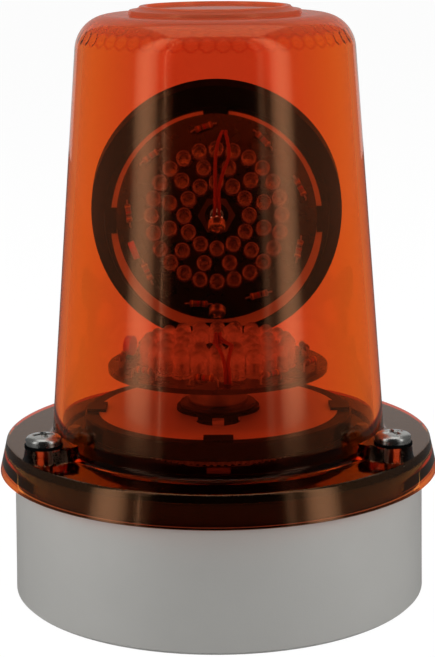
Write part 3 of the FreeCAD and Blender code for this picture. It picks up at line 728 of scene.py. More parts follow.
@dataclass(frozen=True)
class BoardMask:
    """Circuit board: solder mask over faint tracks and copper fill."""

    name: str
    colour: Colour

    def make(self) -> bpy.types.Material:
        """Builds this finish.

        Returns:
            The material.
        """
        g = Graph(self.name)
        cells = g.add("TexVoronoi", {"Vector": g.coords(), "Scale": 210.0, "Randomness": 0.35},
                      feature="DISTANCE_TO_EDGE").outputs["Distance"]
        track = g.add("MapRange", {"Value": cells, "From Min": 0.03, "From Max": 0.06}).outputs["Result"]
        base = g.blend(track, shade(self.colour, 1.7), self.colour)
        values = {"Base Color": base, "Roughness": g.span(g.noise(120.0), 0.22, 0.34),
                  "Coat Weight": 0.25, "Normal": g.bump(track, 0.00003, 0.5)}
        return g.solid(values)


@dataclass(frozen=True)
class Banded:
    """Lacquered resistor body with colour bands across the piece's own "band" attribute."""

    name: str
    body: Colour
    bands: tuple[tuple[float, Colour], ...]
    cap: Colour = (0.30, 0.30, 0.29)
    band_width: float = 0.045

    def make(self) -> bpy.types.Material:
        """Builds this finish.

        Returns:
            The material.
        """
        g = Graph(self.name)
        along = g.add("Attribute", attribute_name="band").outputs["Fac"]
        ramp = g.add("ValToRGB", {"Fac": along})
        ramp.color_ramp.interpolation = "CONSTANT"
        marks = ramp.color_ramp.elements
        marks[0].position, marks[0].color = 0.0, (*self.cap, 1.0)
        marks[1].position, marks[1].color = 0.2, (*self.body, 1.0)
        for where, colour in self.bands:
            marks.new(where).color = (*colour, 1.0)
            marks.new(where + self.band_width).color = (*self.body, 1.0)
        marks.new(0.8).color = (*self.cap, 1.0)
        mottle = g.noise(900.0, 3.0)
        values = {"Base Color": ramp.outputs["Color"], "Roughness": g.span(mottle, 0.28, 0.42),
                  "Normal": g.bump(mottle, 0.00002, 0.5)}
        return g.solid(values)


class Finishes:
    """The record's material slots and the finish that each one gets."""

    def __init__(self) -> None:
        """Makes every finish once."""
        black = (0.0025, 0.0025, 0.0025)
        recipes = {
            "grey_plastic": Moulding("base_grey", (0.43, 0.425, 0.405), 0.42, 2200.0, 0.00005, 0.03),
            "amber_dome": TintedShell("dome_amber", (0.89, 0.31, 0.0), 268.0, (0.88, 0.55, 0.48),
                                      (0.9, 0.43, 0.2)),
            "rubber_black": Rubber("seal_rubber"),
            "brass": Metal("insert_brass", (0.72, 0.52, 0.20), 0.3, MetalFace.TURNED),
            "bright_steel": Metal("screw_plating", (0.5, 0.495, 0.47), 0.26),
            "black_plastic": Moulding("chassis_black", black, 0.36, 2400.0, 0.00004, 0.15, 0.05),
            "pale_plastic": Moulding("key_pale", (0.62, 0.60, 0.55), 0.4),
            "dark_steel": Metal("screw_oxide", (0.09, 0.085, 0.08), 0.35, MetalFace.OXIDE),
            "polished_steel": Metal("column_steel", (0.34, 0.335, 0.325), 0.14, MetalFace.TURNED),
            "zinc_steel": Metal("motor_zinc", (0.6, 0.61, 0.62), 0.3),
            "white_plastic": Moulding("gear_acetal", (0.78, 0.77, 0.72), 0.34, 1600.0, 0.00002, 0.03),
            "black_board": BoardMask("board_black", (0.004, 0.004, 0.004)),
            "clear_lens": ClearPlastic("lamp_epoxy", (0.97, 0.98, 1.0), 25.0, 1.53, 0.015, 0.0000015,
                                       0.38),
            "resistor_paint": Banded("resistor_lacquer", (0.20, 0.13, 0.075),
                                     ((0.3, (0.45, 0.20, 0.02)), (0.4, (0.01, 0.01, 0.01)),
                                      (0.5, (0.35, 0.02, 0.01)), (0.68, (0.5, 0.36, 0.08)))),
            "red_epoxy": Moulding("surge_red", (0.55, 0.03, 0.02), 0.25, 500.0, 0.00005, 0.08),
            "red_wire": Moulding("lead_red", (0.26, 0.06, 0.045), 0.36, 900.0, 0.00001, 0.05),
            "black_wire": Moulding("lead_black", (0.016, 0.016, 0.017), 0.34, 900.0, 0.00001, 0.1),
            "green_board": BoardMask("board_green", (0.012, 0.10, 0.035)),
            "green_plastic": Moulding("terminal_green", (0.03, 0.24, 0.07), 0.38),
            "sleeve_black": Moulding("capacitor_sleeve", (0.02, 0.02, 0.035), 0.22, 700.0, 0.00001, 0.05),
            "black_acetal": Moulding("bush_acetal", (0.014, 0.014, 0.014), 0.28, 1500.0, 0.00002, 0.1),
            "pale_sheet": Moulding("plate_pale", (0.70, 0.69, 0.66), 0.32, 1200.0, 0.00002, 0.03),
            "mirror_glass": Silvering(),
            "black_steel": Moulding("arm_coat", black, 0.45, 900.0, 0.00006, 0.1, 0.05),
        }
        self._made = {slot: recipe.make() for slot, recipe in recipes.items()}
        self.lamp_metal = Metal("lamp_frame", (0.6, 0.59, 0.57), 0.2).make()
        self.dull_steel = Metal("nut_steel", (0.30, 0.29, 0.28), 0.32).make()
        # Painted shade: a much darker copy of the pale key plastic, which the index key wears in place of its
        # own pale finish.
        self.painted_shade_key = Moulding("key_painted_shade", (0.10, 0.09, 0.08), 0.4).make()

    def of(self, slot: str) -> bpy.types.Material:
        """Material of a record slot."""
        return self._made[slot]


@dataclass
class Dresser:
    """Gives pieces their body and the material of their slot, and reports them."""

    finishes: Finishes
    slots: dict[str, str] = field(default_factory=dict)
    bodies: dict[str, str] = field(default_factory=dict)

    def __post_init__(self) -> None:
        """Reads each node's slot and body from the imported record."""
        record = frame["record"]
        self.slots = {s["node"]: s["material_slot"] for s in record["subparts"]}
        for body, nodes in record["behaviour"]["bodies"].items():
            self.bodies.update({n: body for n in nodes})

    def dress(self, obj: bpy.types.Object, slot: str, body: str,
              material: Optional[bpy.types.Material] = None) -> bpy.types.Object:
        """Dresses one new piece.

        Args:
            obj: the piece.
            slot: the record's slot.
            body: the body it rides on.
            material: used in place of the slot's own finish.

        Returns:
            The same piece.
        """
        obj.data.materials.clear()
        obj.data.materials.append(material or self.finishes.of(slot))
        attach(obj, body)
        LOG.info("%s: %d faces on %s", obj.name, len(obj.data.polygons), body)
        return obj

    def carry(self, node: str, sharp_deg: float = 33.0) -> bpy.types.Object:
        """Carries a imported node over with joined, smooth faces and its own finish."""
        obj = merged_copy(node, node + "_piece", sharp_deg)
        return self.dress(obj, self.slots[node], self.bodies[node])


# ---------------------------------------------------------------- the dome


@dataclass
class Honeycomb:
    """Hexagon relief moulded inside the dome's shoulder."""

    around: int = 54
    rows: int = 4
    height: float = 0.16
    gap: float = 0.10
    cell: float = 4.35

    def relief(self, angle: Array, down: Array) -> tuple[Array, Array]:
        """Height of the relief.

        Hexagon tiling of unit width: of the two nearest lattice centres the closer one gives
        (gx, gy), the distance to its edge is 0.5 - max(|gx|, |gx|/2 + |gy| sqrt(3)/2), and the
        height rises over the edge by a cubic blend.

        Args:
            angle: angle round the axis, radians.
            down: distance along the wall from the first row, millimetres.

        Returns:
            Height in millimetres and the share of the grooves between cells, which gets painted shade, both 0
            outside the rows.
        """
        u = angle * self.around / (2.0 * math.pi)
        w = down / self.cell
        tall = math.sqrt(3.0)
        ax, ay = np.mod(u, 1.0) - 0.5, np.mod(w, tall) - tall / 2
        bx, by = np.mod(u + 0.5, 1.0) - 0.5, np.mod(w + tall / 2, tall) - tall / 2
        nearer = ax * ax + ay * ay < bx * bx + by * by
        gx, gy = np.where(nearer, ax, bx), np.where(nearer, ay, by)
        edge = 0.5 - np.maximum(np.abs(gx), np.abs(gx) / 2 + np.abs(gy) * tall / 2)
        centre = w - gy
        inside = (centre > 0.4) & (centre < 0.4 + self.rows * tall / 2)
        raised = smooth_step(self.gap * 0.3, self.gap * 1.6, edge)
        return np.where(inside, self.height * raised, 0.0), np.where(inside, 1.0 - raised, 0.0)


@dataclass
class DomeMoulding:
    """Dome, flange, skirt and three screw lugs as one closed skin."""

    height: float = 186.0
    flange_r: float = 70.07
    skirt_z: float = 40.0
    flange_z: float = FLANGE_Z
    flange_t: float = 2.8
    skirt_wall: float = 2.5
    flare: float = 2.1
    edge: float = 0.9
    foot_r: float = 53.3
    wall: float = 2.7
    taper_deg: float = TAPER_DEG
    fillet: float = 1.6
    shoulder: float = 11.0
    crown_drop: float = 2.5
    step_r: float = 26.6
    step_h: float = 1.3
    boss_r: float = 23.4
    rim: float = 1.6
    rim_drop: float = 0.8
    lug_r: float = 6.2
    lug_h: float = 4.4
    screw_r: float = SCREW_CIRCLE_R
    lug_angles: tuple[float, ...] = LUG_ANGLES
    columns: int = 432
    comb_r: float = 29.0
    comb_back: float = 3.0
    # Height of the skirt's lower edge band that gets painted shade.
    painted_shade_band: float = 0.35
    comb: Honeycomb = field(default_factory=Honeycomb)

    def shoulder_centre(self) -> tuple[float, float]:
        """Centre of the shoulder's arc, which touches the cone and the crown.

        Returns:
            Its radius and height.
        """
        beta = math.radians(self.taper_deg)
        z = self.height - self.crown_drop - self.shoulder
        r = self.foot_r - math.tan(beta) * (z - self.flange_z) - self.shoulder / math.cos(beta)
        return r, z

    def outer(self) -> Array:
        """Outer profile from the skirt's lower edge up to the top's centre.

        Returns:
            (r, z) rows.
        """
        slope = math.tan(math.radians(self.taper_deg))
        crown = self.height - self.crown_drop
        cr, cz = self.shoulder_centre()
        edge_r = self.flange_r - self.flare
        top_r = edge_r - self.edge
        foot = (self.foot_r + self.fillet, self.flange_z)
        lean = math.degrees(math.atan2(self.flare, self.flange_z - self.edge - self.skirt_z))
        parts = [
            line((self.flange_r - 0.3, self.skirt_z), (self.flange_r, self.skirt_z + 0.3), 2),
            line((self.flange_r, self.skirt_z + 0.3), (edge_r, self.flange_z - self.edge), 8),
            arc((top_r, self.flange_z - self.edge), self.edge, lean, 90.0, 5),
            line((top_r, self.flange_z), foot, 34),
            arc((self.foot_r + self.fillet, self.flange_z + self.fillet), self.fillet, 270.0, 180.0, 6),
            line((self.foot_r - slope * self.fillet, self.flange_z + self.fillet),
                 (self.foot_r - slope * 8.0, self.flange_z + 8.0), 14),
            line((self.foot_r - slope * 8.0, self.flange_z + 8.0),
                 (cr + self.shoulder * math.cos(math.radians(self.taper_deg)),
                  cz + self.shoulder * math.sin(math.radians(self.taper_deg))), 8),
            arc((cr, cz), self.shoulder, self.taper_deg, 90.0, 14),
            line((cr, crown), (self.step_r + 0.25, crown), 2),
            arc((self.step_r + 0.25, crown + 0.25), 0.25, 270.0, 180.0, 2),
            arc((self.step_r - 0.35, crown + self.step_h - 0.35), 0.35, 0.0, 90.0, 3),
            line((self.step_r - 0.35, crown + self.step_h), (self.boss_r, crown + self.step_h), 2),
            arc((self.boss_r - 0.35, self.height - 0.35), 0.35, 0.0, 90.0, 3),
            line((self.boss_r - 0.35, self.height), (self.boss_r - self.rim, self.height), 1),
            line((self.boss_r - self.rim, self.height), (self.boss_r - self.rim - 0.3,
                                                          self.height - self.rim_drop), 2),
            line((self.boss_r - self.rim - 0.3, self.height - self.rim_drop),
                 (0.0, self.height - self.rim_drop), 2),
            np.array([[0.0, self.height - self.rim_drop]]),
        ]
        return np.vstack(parts)

    def inner(self) -> Array:
        """Inner profile from the crown's underside down to the skirt's lower edge.

        Returns:
            (r, z) rows.
        """
        crown = self.height - self.crown_drop - self.wall
        cr, cz = self.shoulder_centre()
        beta = math.radians(self.taper_deg)
        radius = self.shoulder - self.wall
        foot_in = self.foot_r - self.wall
        skirt_in = self.flange_r - self.skirt_wall
        touch = (cr + radius * math.cos(beta), cz + radius * math.sin(beta))
        parts = [
            np.array([[0.0, crown]]),
            line((4.0, crown), (28.0, crown), 3),
            line((28.0, crown), (cr, crown), 12),
            arc((cr, cz), radius, 90.0, self.taper_deg, 34),
            line(touch, (touch[0] + 0.45, touch[1] - 5.6), 14),
            line((touch[0] + 0.45, touch[1] - 5.6), (foot_in, self.flange_z), 8),
            line((foot_in, self.flange_z), (foot_in, self.flange_z - self.flange_t), 2),
            line((foot_in, self.flange_z - self.flange_t),
                 (skirt_in - 0.6, self.flange_z - self.flange_t), 4),
            arc((skirt_in - 0.6, self.flange_z - self.flange_t - 0.6), 0.6, 90.0, 0.0, 3),
            line((skirt_in, self.flange_z - self.flange_t - 0.6), (skirt_in, self.skirt_z), 3),
            np.array([[skirt_in, self.skirt_z]]),
        ]
        return np.vstack(parts)

    def lug_lift(self, profile: Array, angle: Array) -> Array:
        """Raises the flange's top into the lugs.

        In each lug's own frame (u outwards from the axis, v sideways) the lug is the disc of
        its radius round the screw and the strip from there to the wall; its distance field
        is max(|v|, hypot(u - screw, v) outwards) and the lift falls by a cubic blend at its edge.

        Args:
            profile: (r, z) rows.
            angle: angle of each column, radians.

        Returns:
            Lift in millimetres for each row and column.
        """
        r, z = profile[:, :1], profile[:, 1:]
        total = np.zeros((len(profile), len(angle)))
        for lug in self.lug_angles:
            turn = angle - math.radians(lug)
            u, v = r * np.cos(turn), r * np.sin(turn)
            round_end = np.hypot(u - self.screw_r, v)
            away = np.where(u > self.screw_r, round_end, np.abs(v))
            away = np.where(u > 0.0, away, 1e3)
            full = smooth_step(self.lug_r + 0.25, self.lug_r - 0.55, away)
            room = np.clip(self.flange_z + self.lug_h - z, 0.0, self.lug_h)
            total = np.maximum(total, full * room)
        on_top = (z > self.flange_z - 0.05) & (z < self.flange_z + self.lug_h)
        return np.where(on_top, total, 0.0)

    def build(self, dresser: Dresser) -> bpy.types.Object:
        """Makes the dome: the outline is turned about Z, then the lugs and relief are added.

        Args:
            dresser: gives the dome its finish.

        Returns:
            The dome.
        """
        outer, inner = self.outer(), self.inner()
        angle = full_turn(self.columns)
        profile = np.vstack([inner, outer])
        first_out = len(inner)
        lift = np.zeros((len(profile), self.columns))
        lift[first_out:] = self.lug_lift(outer, angle)
        step = np.vstack([[0.0, 0.0], np.diff(inner, axis=0)])
        along = np.cumsum(np.hypot(step[:, 0], step[:, 1]))
        start = float(along[np.argmax(inner[:, 0] >= self.comb_r)]) - self.comb_back
        tangent = np.gradient(inner, axis=0)
        tangent /= np.linalg.norm(tangent, axis=1, keepdims=True)
        into = np.stack([tangent[:, 1], -tangent[:, 0]], axis=1)
        relief, painted_groove_shade = self.comb.relief(angle[None, :], along[:, None] - start)
        radial = np.zeros((len(profile), self.columns))
        radial[:first_out] = into[:, :1] * relief
        lift[:first_out] += into[:, 1:] * relief
        rows = profile[1:-1]
        r = rows[:, :1] + radial[1:-1]
        points = np.stack([r * np.cos(angle), r * np.sin(angle), rows[:, 1:] + lift[1:-1]], axis=-1)
        obj = to_object("dome_moulding", *capped_arrays(
            points.reshape(-1, 3), len(rows), self.columns, (0.0, 0.0, profile[0, 1]),
            (0.0, 0.0, profile[-1, 1])), 40.0)
        # Painted shade: the 'deep' attribute marks the skirt's lower edge band and the relief's grooves,
        # where the dome's tint is darkened.
        tint = np.where(profile[:, 1:] < self.skirt_z + self.painted_shade_band, 1.0, np.zeros((1, self.columns)))
        tint[:first_out] = np.maximum(tint[:first_out], painted_groove_shade)
        deep = obj.data.attributes.new("deep", "FLOAT", "POINT")
        deep.data.foreach_set("value", np.append(tint[1:-1].ravel(), [0.0, 0.0]).astype(np.float32))
        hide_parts("dome")
        return dresser.dress(obj, "amber_dome", Body.HOUSING.value)


# ---------------------------------------------------------------- screws


@dataclass
class PanScrew:
    """Pan-head screw with a cross recess; the head's seat is at z = 0."""

    head_r: float
    head_h: float
    shank_r: float
    shank_len: float
    cols: int = 96
    side_share: float = 0.52
    bar_half: float = 0.13
    bar_length: float = 0.56
    recess_share: float = 0.55

    def arrays(self) -> Surface:
        """Turned outline whose crown dips by the cross recess.

        The recess is the union of two bars; with d the smaller of the two bars' distances,
        the dip is depth * blend(0.25 -> -0.2 of d) * (1 - 0.45 r / length).

        Returns:
            Vertices and face arrays.
        """
        side = self.head_h * self.side_share
        crown = np.linspace(0.0, 1.0, 40, endpoint=False)[:, None]
        r_crown = self.head_r * (1.0 - crown)
        z_crown = side + (self.head_h - side) * np.sqrt(np.clip(1.0 - (r_crown / self.head_r) ** 2.6, 0, 1))
        profile = np.vstack([
            [[0.0, -self.shank_len]],
            line((self.shank_r - 0.3, -self.shank_len), (self.shank_r, -self.shank_len + 0.4), 2),
            line((self.shank_r, -self.shank_len + 0.4), (self.shank_r, 0.0), 2),
            line((self.shank_r, 0.0), (self.head_r - 0.12, 0.0), 2),
            line((self.head_r - 0.12, 0.0), (self.head_r, 0.12), 1),
            line((self.head_r, 0.12), (self.head_r, side), 3),
            np.hstack([r_crown, z_crown]),
            [[0.0, self.head_h]],
        ])
        angle = full_turn(self.cols)
        rows = profile[1:-1]
        x, y = rows[:, :1] * np.cos(angle), rows[:, :1] * np.sin(angle)
        half, length = self.head_r * self.bar_half, self.head_r * self.bar_length
        bar_x = np.maximum(np.abs(x) - length, np.abs(y) - half)
        bar_y = np.maximum(np.abs(y) - length, np.abs(x) - half)
        d = np.minimum(bar_x, bar_y)
        deep = self.head_h * self.recess_share * (1.0 - 0.45 * np.hypot(x, y) / length)
        dip = smooth_step(0.25, -0.2, d) * deep
        on_crown = rows[:, 1:] > side + 0.01
        lift = np.where(on_crown, -dip, 0.0)
        profile[-1, 1] -= self.head_h * self.recess_share
        return turned_arrays(profile, self.cols, lift)


@dataclass
class DomeFixings:
    """The three dome screws and their seals."""

    circle_r: float = SCREW_CIRCLE_R
    seat_z: float = 55.3
    angles: tuple[float, ...] = LUG_ANGLES

    def build(self, dresser: Dresser) -> None:
        """Places the screws over their lugs, each turned differently, and the seals.

        Args:
            dresser: gives the pieces their finishes.
        """
        verts, faces = PanScrew(head_r=5.5, head_h=3.2, shank_r=2.0, shank_len=15.3).arrays()
        spots = [ring_place(self.circle_r, a, self.seat_z, 25.0 + 40.0 * i)
                 for i, a in enumerate(self.angles)]
        verts, faces = repeat_arrays(verts, faces, np.array(spots))
        obj = to_object("dome_screw_set", verts, faces, 38.0)
        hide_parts("dome_screws")
        dresser.dress(obj, "bright_steel", Body.HOUSING.value)
        for node in ("screw_seals", "threaded_inserts"):
            dresser.carry(node)
        outline = np.array([[54.5, 46.0], [66.85, 46.0], [66.85, 40.15], [67.3, 40.15], [67.3, 47.3],
                            [54.5, 47.3]])
        seal = to_object("gasket_ring", *ring_arrays(outline, 180), 30.0)
        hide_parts("dome_gasket")
        dresser.dress(seal, "rubber_black", Body.HOUSING.value)


# ---------------------------------------------------------------- light board


@dataclass
class LampField:
    """48 clear lamps standing in three rings, with their metal frames inside."""

    board_z: float = BOARD_Z
    radii: tuple[float, ...] = (11.2, 16.7, 22.4)
    counts: tuple[int, ...] = (12, 12, 24)
    collar_r: float = 2.9
    lens_r: float = 2.5
    height: float = 8.9

    def places(self) -> Array:
        """Matrices of all lamps; each lamp is turned by its own angle.

        Returns:
            Matrices, shape (lamps, 4, 4).
        """
        spots = []
        for ring, (radius, count) in enumerate(zip(self.radii, self.counts)):
            for i in range(count):
                a = 360.0 * (i + 0.5 * (ring % 2)) / count
                spots.append(ring_place(radius, a, self.board_z, a + 37.0 * i))
        return np.array(spots)

    def lens(self) -> Surface:
        """Collar, straight side and half-round end as one turned outline.

        Returns:
            Vertices and face arrays.
        """
        neck = self.height - self.lens_r
        profile = np.vstack([
            [[0.0, 0.02]],
            line((self.collar_r - 0.15, 0.02), (self.collar_r, 0.15), 1),
            line((self.collar_r, 0.15), (self.collar_r, 0.85), 1),
            line((self.collar_r, 0.85), (self.collar_r - 0.15, 1.0), 1),
            line((self.collar_r - 0.15, 1.0), (self.lens_r, 1.0), 1),
            line((self.lens_r, 1.0), (self.lens_r, neck), 2),
            arc((0.0, neck), self.lens_r, 0.0, 90.0, 8),
            [[0.0, self.height]],
        ])
        return turned_arrays(profile, 24)

    def core(self) -> Surface:
        """Reflector cup on its post, and the second post, as turned outlines.

        Returns:
            Vertices and face arrays.
        """
        cup = np.array([[0.0, 0.4], [0.35, 0.4], [0.35, 2.9], [0.5, 3.4], [0.75, 4.6], [0.66, 4.65],
                        [0.3, 3.75], [0.0, 3.7]])
        verts, faces = turned_arrays(cup, 12)
        post = np.array([[0.0, 0.4], [0.3, 0.4], [0.3, 4.2], [0.0, 4.3]])
        verts2, faces2 = turned_arrays(post, 8)
        verts2 = verts2 + np.array([1.45, 0.0, 0.0])
        count = len(verts)
        return np.vstack([verts, verts2]), faces + [f + count for f in faces2]

    def build(self, dresser: Dresser) -> None:
        """Makes the lenses and their frames.

        Args:
            dresser: gives the pieces their finishes.
        """
        spots = self.places()
        verts, faces = self.lens()
        lenses = to_object("lamp_lenses", *repeat_arrays(verts, faces, spots), 38.0)
        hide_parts("leds")
        dresser.dress(lenses, "clear_lens", Body.HOUSING.value)
        lenses.visible_shadow = False
        verts, faces = self.core()
        cores = to_object("lamp_frames", *repeat_arrays(verts, faces, spots), 30.0)
        dresser.dress(cores, "polished_steel", Body.HOUSING.value, dresser.finishes.lamp_metal)


@dataclass
class BoardParts:
    """Resistors round the light board's edge."""

    count: int = 9
    circle_r: float = 30.45
    board_z: float = BOARD_Z
    length: float = 6.4
    radius: float = 1.15
    lift: float = 1.5
    lead_r: float = 0.3
    sides: int = 12

    def one(self) -> tuple[Array, list[Array], Array]:
        """Body with swollen ends carried along X; leads bent down at both ends.

        Returns:
            Vertices, face arrays and the place along the body of each vertex, from 0 to 1.
        """
        reach = self.length / 2 + 1.6 - 0.3
        z = self.lift + self.radius
        path = np.array([[-reach, 0, 0.05], [-reach, 0, z * 0.55], [-reach + 0.5, 0, z - 0.12],
                         [-reach + 1.2, 0, z]])
        left = smooth_curve(path, 4)
        right = left[::-1] * np.array([-1.0, 1.0, 1.0])
        x = np.linspace(-self.length / 2, self.length / 2, 41)
        middle = np.stack([x, np.zeros_like(x), np.full_like(x, z)], axis=1)
        line_all = np.vstack([left, middle, right])
        bulge = 0.86 + 0.14 * np.clip(smooth_step(0.55, 0.75, np.abs(x) / (self.length / 2)), 0, 1)
        round_off = np.sqrt(np.clip(1.0 - np.clip((np.abs(x) / (self.length / 2) - 0.86) / 0.14, 0, 1) ** 2,
                                    0.03, 1))
        thick = np.concatenate([np.full(len(left), self.lead_r), self.radius * bulge * round_off,
                                np.full(len(right), self.lead_r)])
        verts, faces = tube_arrays(line_all, thick, self.sides, np.array([0.0, 1.0, 0.0]))
        along = np.concatenate([np.zeros(len(left)), 0.2 + 0.6 * (x / self.length + 0.5),
                                np.ones(len(right))])
        band = np.concatenate([np.repeat(along, self.sides), [0.0, 1.0]])
        return verts, faces, band

    def build(self, dresser: Dresser) -> None:
        """Sets the resistors round the board at their own slants, and carries the board over.

        Args:
            dresser: gives the pieces their finishes.
        """
        verts, faces, band = self.one()
        spots = []
        for i in range(self.count):
            a = 22.0 + 360.0 * i / self.count
            slant = 90.0 + (14.0 if i % 2 else -10.0)
            spots.append(place(turn_deg=a) @ place(x=self.circle_r, z=self.board_z, turn_deg=slant))
        obj = to_object("resistor_set", *repeat_arrays(verts, faces, np.array(spots)), 40.0)
        values = obj.data.attributes.new("band", "FLOAT", "POINT")
        values.data.foreach_set("value", np.tile(band, self.count).astype(np.float32))
        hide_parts("resistors")
        dresser.dress(obj, "resistor_paint", Body.HOUSING.value)
        for node in ("surge_disc", "led_board", "board_mount"):
            dresser.carry(node)
        dresser.dress(merged_copy("board_nut", "board_nut_piece"), "polished_steel", Body.HOUSING.value,
                      dresser.finishes.dull_steel)


@dataclass
class LeadPair:
    """Two red leads: up through the column, over the lamps and down to the board's edge."""

    radius: float = 0.6
    start_z: float = 9.6
    low_z: float = 22.0
    over_z: float = 83.1
    edge_y: float = -28.4
    board_z: float = BOARD_Z

    def route(self, side: int) -> Array:
        """Middle line of one lead.

        Args:
            side: -1 runs nearly straight, +1 bows out and comes back.

        Returns:
            Points of the line.
        """
        x = 0.95 * side
        out = 2.4 if side > 0 else 0.0
        points = [(x, -24, self.start_z), (x, -24, self.low_z - 4), (x, -20, self.low_z),
                  (x, -4, self.low_z), (x, 0, self.low_z + 4), (x, 0, 50), (x, 0, 76),
                  (x * 0.8, 0, self.over_z - 2.6), (x * 0.7 + 0.2, -2.6, self.over_z + 0.1),
                  (0.2 + x * 0.65, -8, self.over_z), (0.4 + 0.8 * x + 0.5 * out, -14, self.over_z),
                  (0.9 + 1.1 * x + out, -19.5, self.over_z),
                  (1.6 + 0.9 * x + 0.6 * out, -24.3, self.over_z - 0.4),
                  (2.6 + 0.62 * x, self.edge_y + 0.6, self.over_z - 3.4),
                  (2.9 + 0.62 * x, self.edge_y, self.board_z + 3.0),
                  (2.9 + 0.62 * x, self.edge_y, self.board_z + 0.2)]
        return smooth_curve(np.array(points, float), 10)

    def build(self, dresser: Dresser) -> None:
        """Carries a circle along both routes.

        Args:
            dresser: gives the leads their finish.
        """
        verts, faces, count = [], [], 0
        for side in (-1, 1):
            path = self.route(side)
            v, f = tube_arrays(path, np.full(len(path), self.radius), 12, np.array([1.0, 0.0, 0.0]))
            verts.append(v)
            faces.extend([part + count for part in f])
            count += len(v)
        obj = to_object("red_leads", np.vstack(verts), faces, 50.0)
        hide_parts("lead_wires")
        dresser.dress(obj, "red_wire", Body.HOUSING.value)


# ---------------------------------------------------------------- mirror and the rest


@dataclass
class MirrorUnit:
    """Mirror, its frame, arm and screws."""

    top_z: float = 164.3
    low_z: float = 70.5
    top_share: float = 0.76
    low_share: float = 0.857
    foot_in: float = 50.6
    flange_z: float = FLANGE_Z
    taper_deg: float = TAPER_DEG
    seat: float = -0.3
    screw_ts: tuple[float, float] = (-1.3, -44.15)

    def frame_matrix(self) -> Array:
        """4x4 from the mirror's own plane (Y up the mirror, Z out of its face) to the model.

        Returns:
            The matrix.
        """
        slope = math.tan(math.radians(self.taper_deg))

        def inner(z: float) -> float:
            """Inner radius of the dome at a height."""
            return self.foot_in - slope * (z - self.flange_z)

        top_y = -self.top_share * inner(self.top_z)
        low_y = self.low_share * inner(self.low_z)
        angle = math.atan2(self.top_z - self.low_z, low_y - top_y)
        up = np.array([0.0, -math.cos(angle), math.sin(angle)])
        out = np.array([0.0, -math.sin(angle), -math.cos(angle)])
        m = np.eye(4)
        m[:3, 0] = np.cross(up, out)
        m[:3, 1] = up
        m[:3, 2] = out
        m[:3, 3] = (0.0, (top_y + low_y) / 2, (self.top_z + self.low_z) / 2)
        return m

    def build(self, dresser: Dresser) -> None:
        """Carries the flat pieces over and makes the two screws.

        Args:
            dresser: gives the pieces their finishes.
        """
        for node in ("mirror_frame", "mirror", "mirror_arm", "arm_screws"):
            dresser.carry(node)
        verts, faces = PanScrew(head_r=2.8, head_h=1.8, shank_r=1.5, shank_len=4.7).arrays()
        spots = np.array([self.frame_matrix() @ place(0.0, t, self.seat, 20.0 + 30 * i)
                          for i, t in enumerate(self.screw_ts)])
        obj = to_object("mirror_screw_set", *repeat_arrays(verts, faces, spots), 38.0)
        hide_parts("mirror_screws")
        dresser.dress(obj, "bright_steel", Body.ROTOR.value)


@dataclass
class Mechanism:
    """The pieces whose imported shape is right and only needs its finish."""

    nodes: tuple[str, ...] = (
        "base_housing", "cable_grommet", "chassis", "chassis_screws", "centre_column",
        "column_nut", "thrust_washer", "retaining_ring", "turntable_bush", "turntable", "ring_gear",
        "reflector_plate", "index_magnet", "drive_pinion", "drive_shaft", "gearbox", "motor_can",
        "motor_tabs", "motor_screws", "motor_leads", "control_board", "control_screws", "terminal_block",
        "terminal_screws", "capacitor", "driver_chip")

    def build(self, dresser: Dresser) -> None:
        """Carries each one over.

        Args:
            dresser: gives the pieces their finishes.
        """
        for node in self.nodes:
            dresser.carry(node)
        # The index key wears the darker painted-shade copy of its pale plastic.
        dresser.dress(merged_copy("index_key", "index_key_piece"), "pale_plastic", Body.HOUSING.value,
                      dresser.finishes.painted_shade_key)


# ---------------------------------------------------------------- studio


